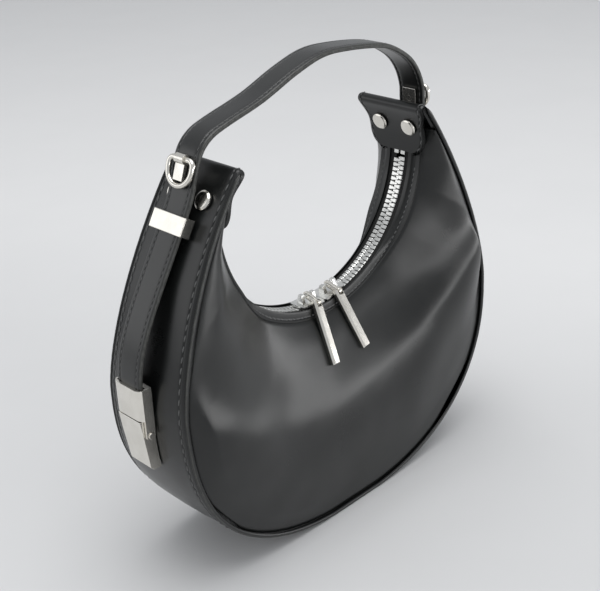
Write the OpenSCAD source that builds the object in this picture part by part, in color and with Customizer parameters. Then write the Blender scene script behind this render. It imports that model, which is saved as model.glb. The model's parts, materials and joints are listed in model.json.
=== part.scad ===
// Half-moon handbag in smooth leather: two crescent panels on a wide gusset,
// a curved two-slider metal zip along the inner arc, horns folded over at the
// ends, and one strap that rises from a hinged clasp on each side.
// X is across the bag, Y is its depth with the front at -Y, Z is up.
// The origin is on the standing surface, in the middle of the bag.

/* [Body] */
// Width over the side seams
body_w = 240; // [200:1:280]
// Height of the widest place above the standing surface
widest_h = 106; // [90:1:120]
// Height of the top of the folded horns
horn_h = 225; // [205:1:245]
// Distance between the tops of the two horns
horn_gap = 136; // [120:1:150]
// Depth over the seams, up to the widest place
body_d = 62; // [50:1:76]
// Depth over the seams at the horns
horn_d = 47; // [38:1:52]
// How far the front and back panels swell past their seams
panel_swell = 5; // [2:0.5:8]
// How far the gusset swells between its seams at the sides
gusset_swell = 2.6; // [1:0.1:3]
// Thickness of the leather
leather_t = 1.8; // [1.2:0.1:2.2]
// Width of the bound rib along each seam
rib_w = 2.4; // [1.8:0.1:3]
// How far the rib stands out from the gusset's edge
rib_out = 1.6; // [1:0.1:2.2]

/* [Mouth] */
// Radius of the arc that the zip follows
zip_r = 76.7; // [70:0.1:82]
// How far the centre of that arc lies below the tops of the horns
zip_axis_drop = 28.7; // [24:0.1:34]
// Angle from the lowest point of the zip to its ends
zip_reach = 84; // [70:1:86]
// Half width of the mouth at the lowest point, to the panel's edge
mouth_half = 9; // [8.5:0.1:12]
// Half width of the mouth beside the horns
throat_half = 14.5; // [12:0.5:18]
// Half width of the folded flap over each end of the zip
lap_half = 20; // [16:0.5:21]
// How far the panel's edge lies below the zip at the lowest point
mouth_drop = 3.8; // [1:0.1:6]
// How far the panel's edge lies below the zip at its ends
throat_drop = 0.8; // [0.4:0.1:3]

/* [Zip] */
// Width of the closed chain of teeth
chain_w = 7.9; // [6:0.1:9]
// Height of a tooth
tooth_h = 2.6; // [2:0.1:3]
// Distance from one tooth to the next on one side
tooth_pitch = 2.8; // [2.4:0.1:3.4]
// How far a tooth reaches past the middle of the chain
tooth_reach = 0.7; // [0.4:0.05:0.8]
// Thickness of the zip tape
tape_t = 0.7; // [0.5:0.05:0.8]
// Where the two sliders meet, as an angle from the lowest point
meet_angle = 3; // [-6:0.5:8]
// Length of a slider
slider_l = 17.5; // [16:0.5:20]
// Thickness of a slider's plates
slider_plate_t = 1.3; // [1:0.1:1.6]
// Height of the middle of the crown bar above the chain
crown_h = 7; // [6.6:0.1:8]
// Diameter of the crown bar and of the cross bar in the pull
pull_pin_d = 2; // [1.6:0.1:2.2]
// Distance between the two holes of the pull link
link_l = 8.5; // [7.5:0.1:10]
// Thickness of the pull link
link_t = 1.8; // [1.4:0.1:2.2]
// Width of the pull bar
bar_w = 5.6; // [5:0.1:7]
// Thickness of the pull bar
bar_t = 3.2; // [2.4:0.1:3.4]
// Length of the pull bar below its cross bar
bar_l = 36; // [28:0.5:38]
// How far the link points down in front of the slider
link_tilt = 14; // [8:1:14]
// How far the hanging bar leans out from upright
bar_lean = 26; // [26:1:34]

/* [Strap] */
// Width of the strap
strap_w = 18; // [14:0.5:20]
// Thickness of the strap
strap_t = 3; // [2:0.1:3.2]
// How far the middle of the strap rises above the keepers
handle_rise = 59; // [50:1:85]
// How far below the tops of the horns the handle leaves the keepers
handle_foot_drop = 23.5; // [20:0.5:26]
// How far the middle of the strap stands out from the gusset at the keepers
strap_stand = 6.2; // [6:0.1:8]

/* [Keeper and ring] */
// Width of a keeper
keeper_w = 24; // [22:0.5:26]
// Height of a keeper
keeper_h = 9.5; // [7:0.5:12]
// Thickness of a keeper's walls
keeper_t = 1.5; // [1:0.1:2]
// Diameter of the wire of a ring
ring_wire_d = 2.8; // [2.2:0.1:3.2]
// Width of a ring over its wire
ring_w = 20; // [18:0.5:23]
// Straight length of a ring's sides
ring_side = 1.5; // [1:0.5:4]
// Width of the tongue that holds a ring
tongue_w = 6.5; // [5:0.5:8]
// Length of the tongue below the ring's hinge
tongue_l = 10.5; // [8.5:0.5:11]

/* [Clasp] */
// Width of a clasp
clasp_w = 21; // [19:0.5:24]
// Height of the joint line between the ferrule and the base
clasp_split_h = 106; // [100:0.5:110]
// Length of the ferrule above the joint line
ferrule_l = 17.5; // [14:0.5:24]
// Length of the base below the joint line
base_l = 31; // [26:0.5:36]
// How far the face of the ferrule stands out from the side seams
clasp_stand = 11; // [10.5:0.5:15]
// How far the foot of the base's face stands out from the side seams
clasp_foot_stand = 7; // [6:0.5:9]
// Thickness of the ferrule from its face to its back
ferrule_t = 7.6; // [6:0.1:8]
// How far the hinge lies below the joint line
hinge_drop = 9; // [7:0.5:11]
// Diameter of the clasp's hinge pin
hinge_pin_d = 2.4; // [2:0.1:3]

/* [Rivets] */
// Diameter of a horn rivet's cap
rivet_d = 10; // [8:0.5:11]
// Thickness of a rivet's cap
rivet_t = 1.6; // [1:0.1:2]
// Diameter of a rivet's post
rivet_post_d = 3; // [2:0.1:4]
// Distance between the two rivets of a horn
rivet_gap = 21; // [16:0.5:24]
// How far the rivets lie below the tops of the horns
rivet_drop = 17.5; // [15:0.5:21]

/* [Hidden] */

black_leather = [0.09, 0.095, 0.1];
black_cloth = [0.05, 0.05, 0.055];
silver = [0.82, 0.83, 0.84];
bright_steel = [0.9, 0.9, 0.88];

// Fits and clearances
overrun = 1;
seat = 0.1;
running = 0.05;
slider_clear = 0.15;

// Smoothness of round pieces
round_fine = 48;
round_small = 24;

// Shares that shape the outline: how square the lower half is and how the
// shoulders draw in, as exponents of the two superellipses
lower_square_share = 2.4;
shoulder_square_share = 1.54;

half_w = body_w / 2;
half_turn = 180;
rest_flat = 0.6;
horn_x = horn_gap / 2;
shoulder_rise = (horn_h - widest_h)
    / pow(1 - pow(horn_x / half_w, shoulder_square_share), 1 / shoulder_square_share);
shoulder_turn = acos(pow(horn_x / half_w, shoulder_square_share / 2));

function mix(a, b, t) = a + (b - a) * t;
function clamp01(t) = max(0, min(1, t));
function ease(t) = let (c = clamp01(t)) c * c * (3 - 2 * c);
function unit(v) = v / norm(v);

// The outer outline in the XZ plane. Share 0 is the bottom, 0.5 the widest
// place and 1 the top of the right horn. Negative shares are on the left.
function lower_point(turn) = [
    half_w * pow(sin(turn), 2 / lower_square_share),
    max(0, widest_h - (widest_h + rest_flat) * pow(cos(turn), 2 / lower_square_share))
];
function upper_point(turn) = [
    half_w * pow(cos(turn), 2 / shoulder_square_share),
    widest_h + shoulder_rise * pow(sin(turn), 2 / shoulder_square_share)
];
function right_outline(share) = share <= 0.5
    ? lower_point(half_turn * share)
    : upper_point(shoulder_turn * (2 * share - 1));
function outline(share) = let (p = right_outline(abs(share))) [sign(share) * p.x, p.y];

// The unit normal that points into the bag
slope_step_share = 0.002;
function inward(share) =
    let (a = outline(max(-1, share - slope_step_share)))
    let (b = outline(min(1, share + slope_step_share)))
    let (d = unit(b - a))
    [-d.y, d.x];
function inset(share, depth) = outline(share) + inward(share) * depth;

// Half the depth over the seams at a height
function half_depth(h) = mix(body_d, horn_d, ease((h - widest_h * taper_start_share)
    / (horn_h - widest_h * taper_start_share))) / 2;
taper_start_share = 0.57;

// How far the gusset swells in its middle at a height: it is flat where the
// bag stands on it and where it folds over the horns
function swell_at(h) = gusset_swell * ease(h / (widest_h * 0.75))
    * ease((horn_h - h) / ((horn_h - widest_h) * 0.6));

// The inner edge of the panels. Its share runs from 0 at the bottom to 1 at
// the tip beside the horn, along the zip's arc and then straight.
zip_axis_h = horn_h - zip_axis_drop;
arc_share = 0.88;
tip_share = 0.925;
tip_point = [zip_r - leather_t * 0.6, right_outline(tip_share).y];
function arc_point(radius, angle) = [radius * sin(angle), zip_axis_h - radius * cos(angle)];
widening_start_share = 0.36;
widening_share = 0.35;
function widening(angle) = ease((angle / zip_reach - widening_start_share) / widening_share);
function mouth_y(angle) = mix(mouth_half, throat_half, widening(angle));
function edge_drop(angle) = mix(mouth_drop, throat_drop, widening(angle));
function right_inner(share) = share <= arc_share
    ? let (angle = zip_reach * share / arc_share) arc_point(zip_r + edge_drop(angle), angle)
    : mix(arc_point(zip_r + throat_drop, zip_reach), tip_point,
        (share - arc_share) / (1 - arc_share));
function inner_edge(share) = let (p = right_inner(abs(share))) [sign(share) * p.x, p.y];
tip_half = half_depth(tip_point.y) - leather_t;
function inner_y(share) = let (s = abs(share)) s <= arc_share
    ? mouth_y(zip_reach * s / arc_share)
    : mix(throat_half, tip_half, (s - arc_share) / (1 - arc_share));

// A point on the outer face of the front panel, with y taken as positive.
// Across runs from 0 at the mouth to 1 at the seam.
panel_round_share = 2.4;
function panel_point(share, across, sink = 0) =
    let (seam = inset(share * tip_share, rib_w + seat))
    let (mouth = inner_edge(share))
    let (p = mix(mouth, seam, across))
    let (y_mouth = inner_y(share))
    let (y_seam = half_depth(seam.y) + seat)
    let (slack = panel_swell * min(1, norm(seam - mouth) / (widest_h * 0.4)))
    let (y = mix(y_mouth, y_seam, 1 - pow(1 - across, panel_round_share))
        + slack * sin(half_turn * across))
    [p.x, y - sink, p.y];

// Faces that join a row of rings into one closed solid. Each ring runs out
// along one side of a strip and back along the other.
function strip_faces(rings, count) = concat(
    [for (i = [0 : rings - 2], k = [0 : count - 1])
        let (a = i * count + k, b = i * count + (k + 1) % count)
        [a, b, b + count]],
    [for (i = [0 : rings - 2], k = [0 : count - 1])
        let (a = i * count + k, b = i * count + (k + 1) % count)
        [a, b + count, a + count]],
    [for (k = [0 : count / 2 - 2], f = [
        [k, count - 1 - k, count - 2 - k], [k, count - 2 - k, k + 1]]) f],
    [for (k = [0 : count / 2 - 2], f = [
        [count - 1 - k, k, count - 2 - k], [count - 2 - k, k, k + 1]])
        [for (v = f) v + (rings - 1) * count]]
);
module strip_solid(rings) {
    polyhedron(
        points = [for (r = rings, p = r) p],
        faces = strip_faces(len(rings), len(rings[0])),
        convexity = 8
    );
}

// Stations along half of the bag
steps = 26;
function span(limit) = [for (i = [-steps : steps]) limit * i / steps];

// Front and back panels: one soft curved sheet each, from mouth to seam
panel_steps = 8;
module panel() {
    strip_solid([for (share = span(1)) concat(
        [for (k = [0 : panel_steps]) panel_point(share, k / panel_steps)],
        [for (k = [panel_steps : -1 : 0]) panel_point(share, k / panel_steps, leather_t)]
    )]);
}
module front_panel() color(black_leather) mirror([0, 1, 0]) panel();
module back_panel() color(black_leather) panel();

// The gusset is one strip: round the outside of the bag, over the fold of
// each horn and down inside it, to a rounded end over the end of the zip
fold_gap = 1.2;
fold_r = leather_t + fold_gap;
fold_share = 0.985;
fold_steps = 8;
lap_steps = 8;
lap_drop = 33.5;
lap_h = horn_h - lap_drop;
fold_centre = inset(fold_share, fold_r);
fold_start = outline(fold_share) - fold_centre;
fold_start_angle = atan2(fold_start.y, fold_start.x);
fold_turn = 178;
function fold_point(part) =
    let (a = fold_start_angle + fold_turn * part)
    fold_centre + fold_r * [cos(a), sin(a)];
function fold_inward(part) =
    let (a = fold_start_angle + fold_turn * part)
    -[cos(a), sin(a)];
lap_clear = 0.4;
lap_end = [zip_r - tooth_h / 2 - leather_t - lap_clear, lap_h];
lap_bend_share = 0.48;
lap_bend = fold_point(1) + lap_bend_share * (fold_point(1).y - lap_h)
    * [-sin(fold_start_angle + fold_turn), cos(fold_start_angle + fold_turn)];
function lap_point(part) =
    mix(mix(fold_point(1), lap_bend, part), mix(lap_bend, lap_end, part), part);
function lap_inward(part) =
    let (d = unit(mix(lap_bend - fold_point(1), lap_end - lap_bend, part)))
    [-d.y, d.x];
function lap_y(part) = mix(horn_d / 2, lap_half, ease(2 * part))
    - lap_half * 0.4 * (1 - sqrt(1 - pow(clamp01(3 * part - 2), 2)));
// One side of the strip as rows of [place, direction inward, half width, swell]
function side_rows(side) = concat(
    [for (i = [side < 0 ? 0 : 1 : steps])
        let (share = side * fold_share * i / steps)
        let (h = outline(share).y)
        [outline(share), inward(share), half_depth(h), swell_at(h)]],
    [for (i = [1 : fold_steps])
        let (p = fold_point(i / fold_steps), n = fold_inward(i / fold_steps))
        [[side * p.x, p.y], [side * n.x, n.y], horn_d / 2, 0]],
    [for (i = [1 : lap_steps])
        let (p = lap_point(i / lap_steps), n = lap_inward(i / lap_steps))
        [[side * p.x, p.y], [side * n.x, n.y], lap_y(i / lap_steps), 0]]
);
function reversed(rows) = [for (i = [len(rows) - 1 : -1 : 0]) rows[i]];
gusset_rows = concat(reversed(side_rows(-1)), side_rows(1));
gusset_cross = 3;
function gusset_ring(row) = concat(
    [for (k = [-gusset_cross : gusset_cross])
        let (v = k / gusset_cross)
        let (p = row[0] - row[1] * row[3] * (1 - v * v))
        [p.x, v * row[2], p.y]],
    [for (k = [gusset_cross : -1 : -gusset_cross])
        let (v = k / gusset_cross)
        let (p = row[0] + row[1] * (leather_t - row[3] * (1 - v * v)))
        [p.x, v * row[2], p.y]]
);
module gusset() color(black_leather) difference() {
    strip_solid([for (row = reversed(gusset_rows)) gusset_ring(row)]);
    for (side = [-1, 1]) {
        on_side(side) rivet_rows() rivet_post(rivet_post_d + 2 * rivet_hole_ease, rivet_d / 2);
        on_side(side) at_keeper() keeper_tenon(keeper_tenon_d + 2 * running);
        on_side(side) screw_places() rotate([0, 90, 0])
            cylinder(d = screw_d + 2 * running, h = screw_hole_l, center = true, $fn = round_small);
    }
}
module on_side(side) {
    if (side < 0) mirror([1, 0, 0]) children();
    else children();
}

// Bound ribs over the raw edges of the seams
rib_sides = 6;
function rib_ring(share) = [for (k = [0 : rib_sides - 1])
    let (angle = 360 * (k + 0.5) / rib_sides)
    let (p = inset(share, rib_w / 2 * (1 + cos(angle))))
    let (y = half_depth(outline(share).y) + rib_out / 2 * (1 + sin(angle)))
    [p.x, y, p.y]];
module rib() {
    strip_solid([for (share = span(fold_share)) rib_ring(share)]);
}
module front_rib() color(black_leather) mirror([0, 1, 0]) rib();
module back_rib() color(black_leather) rib();

// How far each row of teeth is parted by a slider's wedge, and the slider's
// half widths over the wedge and behind it
wedge_half = tooth_reach;
part_y = tooth_reach + wedge_half + slider_clear / 2;
part_flat = slider_l * 0.27;
part_blend = slider_l * 0.4;
slider_wall = 0.9;
slider_head_half = chain_w / 2 + part_y + slider_clear + slider_wall;
slider_tail_half = chain_w / 2 + slider_clear + slider_wall;

// Leather facings between the tape and the edge of each panel
facing_t = 1.2;
facing_gap = 0.35;
facing_ease = 0.16;
facing_inner_y = slider_head_half + facing_gap;
facing_knee_y = mix(facing_inner_y, mouth_half, 0.4);
facing_r = zip_r - tape_t / 2 - seat / 2;
function facing_ring(angle) =
    let (outer_r = zip_r + edge_drop(angle) - facing_t / 2)
    let (outer_y = mouth_y(angle) - facing_ease)
    [for (p = [
        [facing_inner_y, facing_r], [facing_knee_y, facing_r], [outer_y, outer_r],
        [outer_y, outer_r - facing_t], [facing_knee_y, facing_r - facing_t],
        [facing_inner_y, facing_r - facing_t]
    ]) let (q = arc_point(p.y, angle)) [q.x, p.x, q.y]];
module facing() {
    strip_solid([for (angle = reversed(span(zip_reach))) facing_ring(angle)]);
}
module front_facing() color(black_leather) mirror([0, 1, 0]) facing();
module back_facing() color(black_leather) facing();

// Loose lining inside the bag, open along the mouth
lining_t = 0.6;
lining_gap = 0.6;
lining_side_gap = 2.2;
lining_steps = 4;
lining_top_share = 0.12;
lining_reach_share = 0.86;
function lining_side(share, depth) =
    [for (k = [0 : lining_steps])
        let (across = mix(lining_top_share, 0.93, k / lining_steps))
        panel_point(share, across, leather_t + lining_gap + depth)];
function lining_corner(share, depth) =
    let (h = outline(share * tip_share).y)
    let (p = inset(share * tip_share, leather_t + lining_side_gap + depth))
    [p.x, half_depth(h) - leather_t - lining_gap - depth, p.y];
function lining_path(share, depth) =
    let (front = concat(lining_side(share, depth), [lining_corner(share, depth)]))
    concat([for (p = front) [p.x, -p.y, p.z]], reversed(front));
function lining_ring(share) = concat(lining_path(share, 0), reversed(lining_path(share, lining_t)));
module lining() color(black_cloth)
    strip_solid([for (share = reversed(span(lining_reach_share))) lining_ring(share)]);

// Zip: the frame of reference of everything on the chain. Children are drawn
// with X along the chain, Y across it and Z up out of the bag.
module on_zip(angle) {
    translate([0, 0, zip_axis_h]) rotate([0, -angle, 0]) translate([0, 0, -zip_r]) children();
}
function arc_angle(length) = length / zip_r * half_turn / PI;
function arc_length(angle) = angle * PI / half_turn * zip_r;

function parted(angle) =
    part_y * (1 - ease((abs(arc_length(angle - meet_angle)) - part_flat) / part_blend));

tape_inner_y = chain_w * 0.33;
tape_edge_ease = 2 * seat;
function tape_ring(angle) =
    let (low = arc_point(zip_r + tape_t / 2, angle))
    let (high = arc_point(zip_r - tape_t / 2, angle))
    let (inner = tape_inner_y + tape_edge_ease + parted(angle))
    let (outer = facing_knee_y - seat)
    [
        [low.x, inner, low.y],
        [low.x, outer, low.y],
        [high.x, outer, high.y],
        [high.x, inner, high.y]
    ];
tape_steps = 36;
module tape() {
    strip_solid([for (i = [tape_steps : -1 : -tape_steps])
        tape_ring((zip_reach + stop_angle) * i / tape_steps)]);
}
module front_tape() color(black_cloth) mirror([0, 1, 0]) tape();
module back_tape() color(black_cloth) tape();

// One metal tooth, seen along the chain: a head that reaches past the middle
// with a nib and a socket, and two wider jaws that grip the edge of the tape
tooth_t = tooth_pitch * 0.42;
nib_d = tooth_h * 0.3;
nib_l = tooth_pitch * 0.07;
jaw_y = chain_w / 2;
head_half_h = tooth_h * 0.4;
jaw_half_h = tooth_h / 2;
bite_half_h = tape_t / 2 + seat / 2;
tooth_top = [
    [-tooth_reach, head_half_h * 0.5],
    [-tooth_reach * 0.5, head_half_h],
    [tooth_reach, head_half_h],
    [tape_inner_y * 0.8, jaw_half_h],
    [jaw_y * 0.9, jaw_half_h],
    [jaw_y, jaw_half_h * 0.75],
    [jaw_y, bite_half_h],
    [tape_inner_y - seat, bite_half_h]
];
tooth_profile = concat(tooth_top, [for (p = reversed(tooth_top)) [p.x, -p.y]]);
jaw_t = tooth_pitch * 0.74;
jaw_ease = 3 * seat;
jaw_inner_y = tooth_reach + jaw_ease;
jaw_top = [
    [jaw_inner_y, head_half_h],
    [tape_inner_y * 0.8, jaw_half_h],
    [jaw_y * 0.9, jaw_half_h],
    [jaw_y, jaw_half_h * 0.75],
    [jaw_y, bite_half_h],
    [tape_inner_y - seat, bite_half_h]
];
jaw_profile = concat(jaw_top, [for (p = reversed(jaw_top)) [p.x, -p.y]]);
module tooth() {
    difference() {
        union() {
            rotate([90, 0, 90]) linear_extrude(tooth_t, center = true) polygon(tooth_profile);
            rotate([90, 0, 90]) linear_extrude(jaw_t, center = true) polygon(jaw_profile);
            translate([tooth_t / 2, 0, 0]) rotate([0, 90, 0])
                cylinder(d = nib_d, h = 2 * nib_l, center = true, $fn = round_small / 2);
        }
        translate([-tooth_t / 2, 0, 0]) rotate([0, 90, 0])
            cylinder(d = nib_d + 2 * seat, h = 2 * (nib_l + seat), center = true, $fn = round_small / 2);
    }
}
teeth_count = floor(2 * arc_length(zip_reach) / tooth_pitch) - 1;
module tooth_row(phase) {
    for (i = [0 : teeth_count - 1]) {
        angle = arc_angle((i - (teeth_count - 1) / 2 + phase) * tooth_pitch);
        on_zip(angle) translate([0, parted(angle), 0]) tooth();
    }
}
module back_teeth() color(silver) tooth_row(-0.25);
module front_teeth() color(silver) mirror([0, 1, 0]) tooth_row(0.25);

// Crimped stops at both ends of both rows
stop_l = 2.6;
stop_angle = arc_angle(2 * stop_l);
module end_stop() {
    difference() {
        translate([-stop_l / 2, tooth_reach, -tooth_h / 2]) cube([stop_l, jaw_y - tooth_reach, tooth_h]);
        translate([-stop_l / 2 - overrun, tape_inner_y - seat, -bite_half_h])
            cube([stop_l + 2 * overrun, jaw_y, 2 * bite_half_h]);
    }
}
module zip_end_stops() color(silver)
    for (side = [-1, 1], row = [0, 1])
        mirror([0, row, 0]) on_zip(side * (zip_reach + arc_angle(stop_l / 2 + seat))) end_stop();

// Slider, drawn with its head, where the rows part, towards +X
slider_rise = pow(slider_l / 2, 2) / (2 * zip_r);
slider_roof = tooth_h / 2 + slider_rise + slider_clear;
slider_floor = tooth_h / 2 + slider_clear;
slot_high = tape_t / 2 + slider_rise + 2 * slider_clear;
slot_low = tape_t / 2 + slider_clear;
slider_meet_gap = 0.4;
function shield(grow) = [
    [-slider_l / 2, -(slider_tail_half + grow) * 0.8],
    [-slider_l / 2 * 0.85, -(slider_tail_half + grow)],
    [slider_l * 0.12, -(slider_head_half * 0.93 + grow)],
    [slider_l * 0.3, -(slider_head_half + grow)],
    [slider_l * 0.44, -(slider_head_half + grow)],
    [slider_l / 2, -(slider_head_half + grow) * 0.8],
    [slider_l / 2, (slider_head_half + grow) * 0.8],
    [slider_l * 0.44, slider_head_half + grow],
    [slider_l * 0.3, slider_head_half + grow],
    [slider_l * 0.12, slider_head_half * 0.93 + grow],
    [-slider_l / 2 * 0.85, slider_tail_half + grow],
    [-slider_l / 2, (slider_tail_half + grow) * 0.8]
];
channel = [
    [-slider_l, -(slider_tail_half - slider_wall)],
    [-slider_l * 0.42, -(slider_tail_half - slider_wall)],
    [slider_l * 0.12, -(slider_head_half * 0.95 - slider_wall)],
    [slider_l * 0.24, -(slider_head_half - slider_wall)],
    [slider_l, -(slider_head_half - slider_wall)],
    [slider_l, slider_head_half - slider_wall],
    [slider_l * 0.24, slider_head_half - slider_wall],
    [slider_l * 0.12, slider_head_half * 0.95 - slider_wall],
    [-slider_l * 0.42, slider_tail_half - slider_wall],
    [-slider_l, slider_tail_half - slider_wall]
];
wedge = [
    [slider_l * 0.22, 0],
    [slider_l * 0.35, wedge_half],
    [slider_l * 0.46, wedge_half * 0.8],
    [slider_l * 0.46, -wedge_half * 0.8],
    [slider_l * 0.35, -wedge_half]
];
crown_bar_l = link_t * 3.4;
crown_post_w = 2.6;
crown_post_l = 2.4;
module slider() {
    difference() {
        translate([0, 0, -slider_floor - slider_plate_t])
            linear_extrude(slider_floor + slider_roof + 2 * slider_plate_t) polygon(shield(0));
        translate([0, 0, -slider_floor])
            linear_extrude(slider_floor + slider_roof) polygon(channel);
        translate([-slider_l, -slider_l / 2, -slot_low])
            cube([2 * slider_l, slider_l, slot_low + slot_high]);
    }
    translate([0, 0, -slider_floor])
        linear_extrude(slider_floor + slider_roof) polygon(wedge);
    rotate([0, 90, 0]) translate([-crown_h, 0, 0])
        cylinder(d = pull_pin_d, h = crown_bar_l + crown_post_l, center = true, $fn = round_fine);
    for (end = [-1, 1]) {
        translate([end * (crown_bar_l + crown_post_l) / 2, 0, 0]) rotate([90, 0, 90])
            linear_extrude(crown_post_l, center = true) polygon([
                [-crown_post_w, slider_roof + slider_plate_t / 2],
                [crown_post_w, slider_roof + slider_plate_t / 2],
                [crown_post_w / 2, crown_h + pull_pin_d * 0.6],
                [-crown_post_w / 2, crown_h + pull_pin_d * 0.6]
            ]);
    }
}
slider_top = slider_roof + slider_plate_t;
slider_half_angle = atan2((slider_l + slider_meet_gap) / 2, zip_r - slider_top);
left_slider_angle = meet_angle - slider_half_angle;
right_slider_angle = meet_angle + slider_half_angle;
module left_slider() color(silver) on_zip(left_slider_angle) slider();
module right_slider() color(silver) on_zip(right_slider_angle) mirror([1, 0, 0]) slider();

// The pull hangs over the front. Its link rings the crown bar and, at its
// other end, the cross bar of the pull bar. Both turn about the chain's line.
link_hole_d = pull_pin_d + 2 * running;
link_wall = 0.95;
link_throat_share = 0.7;
module pull_link() {
    translate([0, 0, crown_h]) rotate([link_tilt, 0, 0]) rotate([0, 90, 0])
        difference() {
            union() {
                link_end(link_hole_d + 2 * link_wall, link_t);
                translate([0, -link_l, 0]) link_end(link_hole_d + 2 * link_wall, link_t);
                translate([0, -link_l / 2, 0])
                    cube([link_hole_d + 2 * link_wall, link_l, link_t], center = true);
            }
            link_end(link_hole_d, link_t + 2 * overrun);
            translate([0, -link_l, 0]) link_end(link_hole_d, link_t + 2 * overrun);
            translate([0, -link_l / 2, 0])
                cube([link_hole_d * link_throat_share, link_l, link_t + 2 * overrun], center = true);
        }
}
module link_end(diameter, length) {
    cylinder(d = diameter, h = length, center = true, $fn = round_fine);
}
module at_link_end() {
    translate([0, -link_l * cos(link_tilt), crown_h - link_l * sin(link_tilt)]) children();
}
eye_ease = 0.6;
eye_l = link_hole_d / 2 + link_wall + eye_ease;
eye_w = link_t + 2 * eye_ease;
bevel = 0.7;
bar_edge = 1.1;
bar_half_w = bar_w / 2;
bar_half_t = bar_t / 2;
bar_section = [
    [bar_half_w, bar_half_t],
    [bar_half_w, bar_edge - bar_half_t],
    [bar_half_w - bar_edge, -bar_half_t],
    [bar_edge - bar_half_w, -bar_half_t],
    [-bar_half_w, bar_edge - bar_half_t],
    [-bar_half_w, bar_half_t]
];
module pull_bar() {
    at_link_end() rotate([-bar_lean, 0, 0]) {
        rotate([0, 90, 0])
            cylinder(d = pull_pin_d, h = bar_w - bar_edge * 1.2, center = true, $fn = round_fine);
        difference() {
            translate([0, 0, -bar_l]) linear_extrude(bar_l + pull_pin_d * 0.65) polygon(bar_section);
            translate([-eye_w / 2, -bar_t, -eye_l]) cube([eye_w, 2 * bar_t, eye_l + pull_pin_d]);
            translate([0, -bar_half_t - bevel * 0.35, -bar_l - bevel * 0.35]) rotate([45, 0, 0])
                cube([bar_w + overrun, 2 * bevel, 2 * bevel], center = true);
        }
    }
}
module left_pull_link() color(bright_steel) on_zip(left_slider_angle) pull_link();
module right_pull_link() color(bright_steel) on_zip(right_slider_angle) pull_link();
module left_pull_bar() color(bright_steel) on_zip(left_slider_angle) pull_bar();
module right_pull_bar() color(bright_steel) on_zip(right_slider_angle) pull_bar();

// Horn rivets: a post with an outer cap, and a cap pressed on its inner end.
// Each cap lies flat on its own side of the horn.
rivet_lap_share = 0.45;
rivet_cap_ease = 0.5;
rivet_hole_ease = 2 * seat;
function outer_x_at(h) = half_w
    * pow(1 - pow((h - widest_h) / shoulder_rise, shoulder_square_share), 1 / shoulder_square_share);
function outer_lean_at(h) = let (x = outer_x_at(h)) atan2(
    pow((h - widest_h) / shoulder_rise, shoulder_square_share - 1) / shoulder_rise,
    pow(x / half_w, shoulder_square_share - 1) / half_w);
rivet_h = horn_h - rivet_drop;
rivet_outer_lean = outer_lean_at(rivet_h);
rivet_outer = [outer_x_at(rivet_h), rivet_h]
    + (swell_at(rivet_h) + rivet_cap_ease) * [cos(rivet_outer_lean), sin(rivet_outer_lean)];
rivet_inner_normal = -lap_inward(rivet_lap_share);
rivet_inner_lean = atan2(rivet_inner_normal.y, rivet_inner_normal.x);
rivet_inner = lap_point(rivet_lap_share) + rivet_cap_ease * rivet_inner_normal;
rivet_span = rivet_outer - rivet_inner;
rivet_post_lean = atan2(rivet_span.y, rivet_span.x);
module rivet_rows() {
    for (row = [-1, 1]) translate([0, row * rivet_gap / 2, 0]) children();
}
module rivet_cap() {
    cylinder(d = rivet_d, h = rivet_t * 0.6, $fn = round_fine);
    translate([0, 0, rivet_t * 0.6])
        cylinder(d1 = rivet_d, d2 = rivet_d * 0.8, h = rivet_t * 0.4, $fn = round_fine);
}
module rivet_post(diameter, past) {
    translate([rivet_inner.x, 0, rivet_inner.y]) rotate([0, 90 - rivet_post_lean, 0])
        translate([0, 0, -past])
        cylinder(d = diameter, h = norm(rivet_span) + 2 * past, $fn = round_small);
}
module horn_rivets(side) color(silver) on_side(side) rivet_rows() {
    translate([rivet_outer.x, 0, rivet_outer.y]) rotate([0, 90 - rivet_outer_lean, 0]) rivet_cap();
    rivet_post(rivet_post_d, rivet_t / 2);
}
module horn_rivet_caps(side) color(silver) on_side(side) rivet_rows() difference() {
    translate([rivet_inner.x, 0, rivet_inner.y]) rotate([0, 90 - rivet_inner_lean, 0]) rivet_cap();
    rivet_post(rivet_post_d + 2 * running, rivet_t * 0.6);
}

// Strap: places are shares of the half distance between its feet and of the
// height from its feet to the top of the handle
handle_foot_h = horn_h - handle_foot_drop;
foot_x = outer_x_at(handle_foot_h) + strap_stand;
handle_places_share = [
    [-1, 0], [-0.945, 0.17], [-0.9, 0.38], [-0.855, 0.51], [-0.78, 0.6],
    [-0.665, 0.66], [-0.41, 0.765], [-0.15, 0.915], [0.065, 1], [0.28, 0.995],
    [0.535, 0.945], [0.67, 0.88], [0.815, 0.745], [0.9, 0.59], [0.944, 0.42],
    [0.95, 0.27], [0.966, 0.13], [1, 0]
];
handle_places = [for (p = handle_places_share)
    [p.x * foot_x, handle_foot_h + p.y * handle_rise]];
function spline_point(a, b, c, d, t) =
    ((2 * b) + (c - a) * t + (2 * a - 5 * b + 4 * c - d) * t * t
        + (3 * b - a - 3 * c + d) * t * t * t) / 2;
function spline(places, count) =
    let (last = len(places) - 1)
    concat([for (i = [0 : last - 1], k = [0 : count - 1])
        let (a = i == 0 ? 2 * places[0] - places[1] : places[i - 1])
        let (d = i == last - 1 ? 2 * places[last] - places[last - 1] : places[i + 2])
        spline_point(a, places[i], places[i + 1], d, k / count)],
        [places[last]]);
strap_edge = 0.7;
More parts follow.
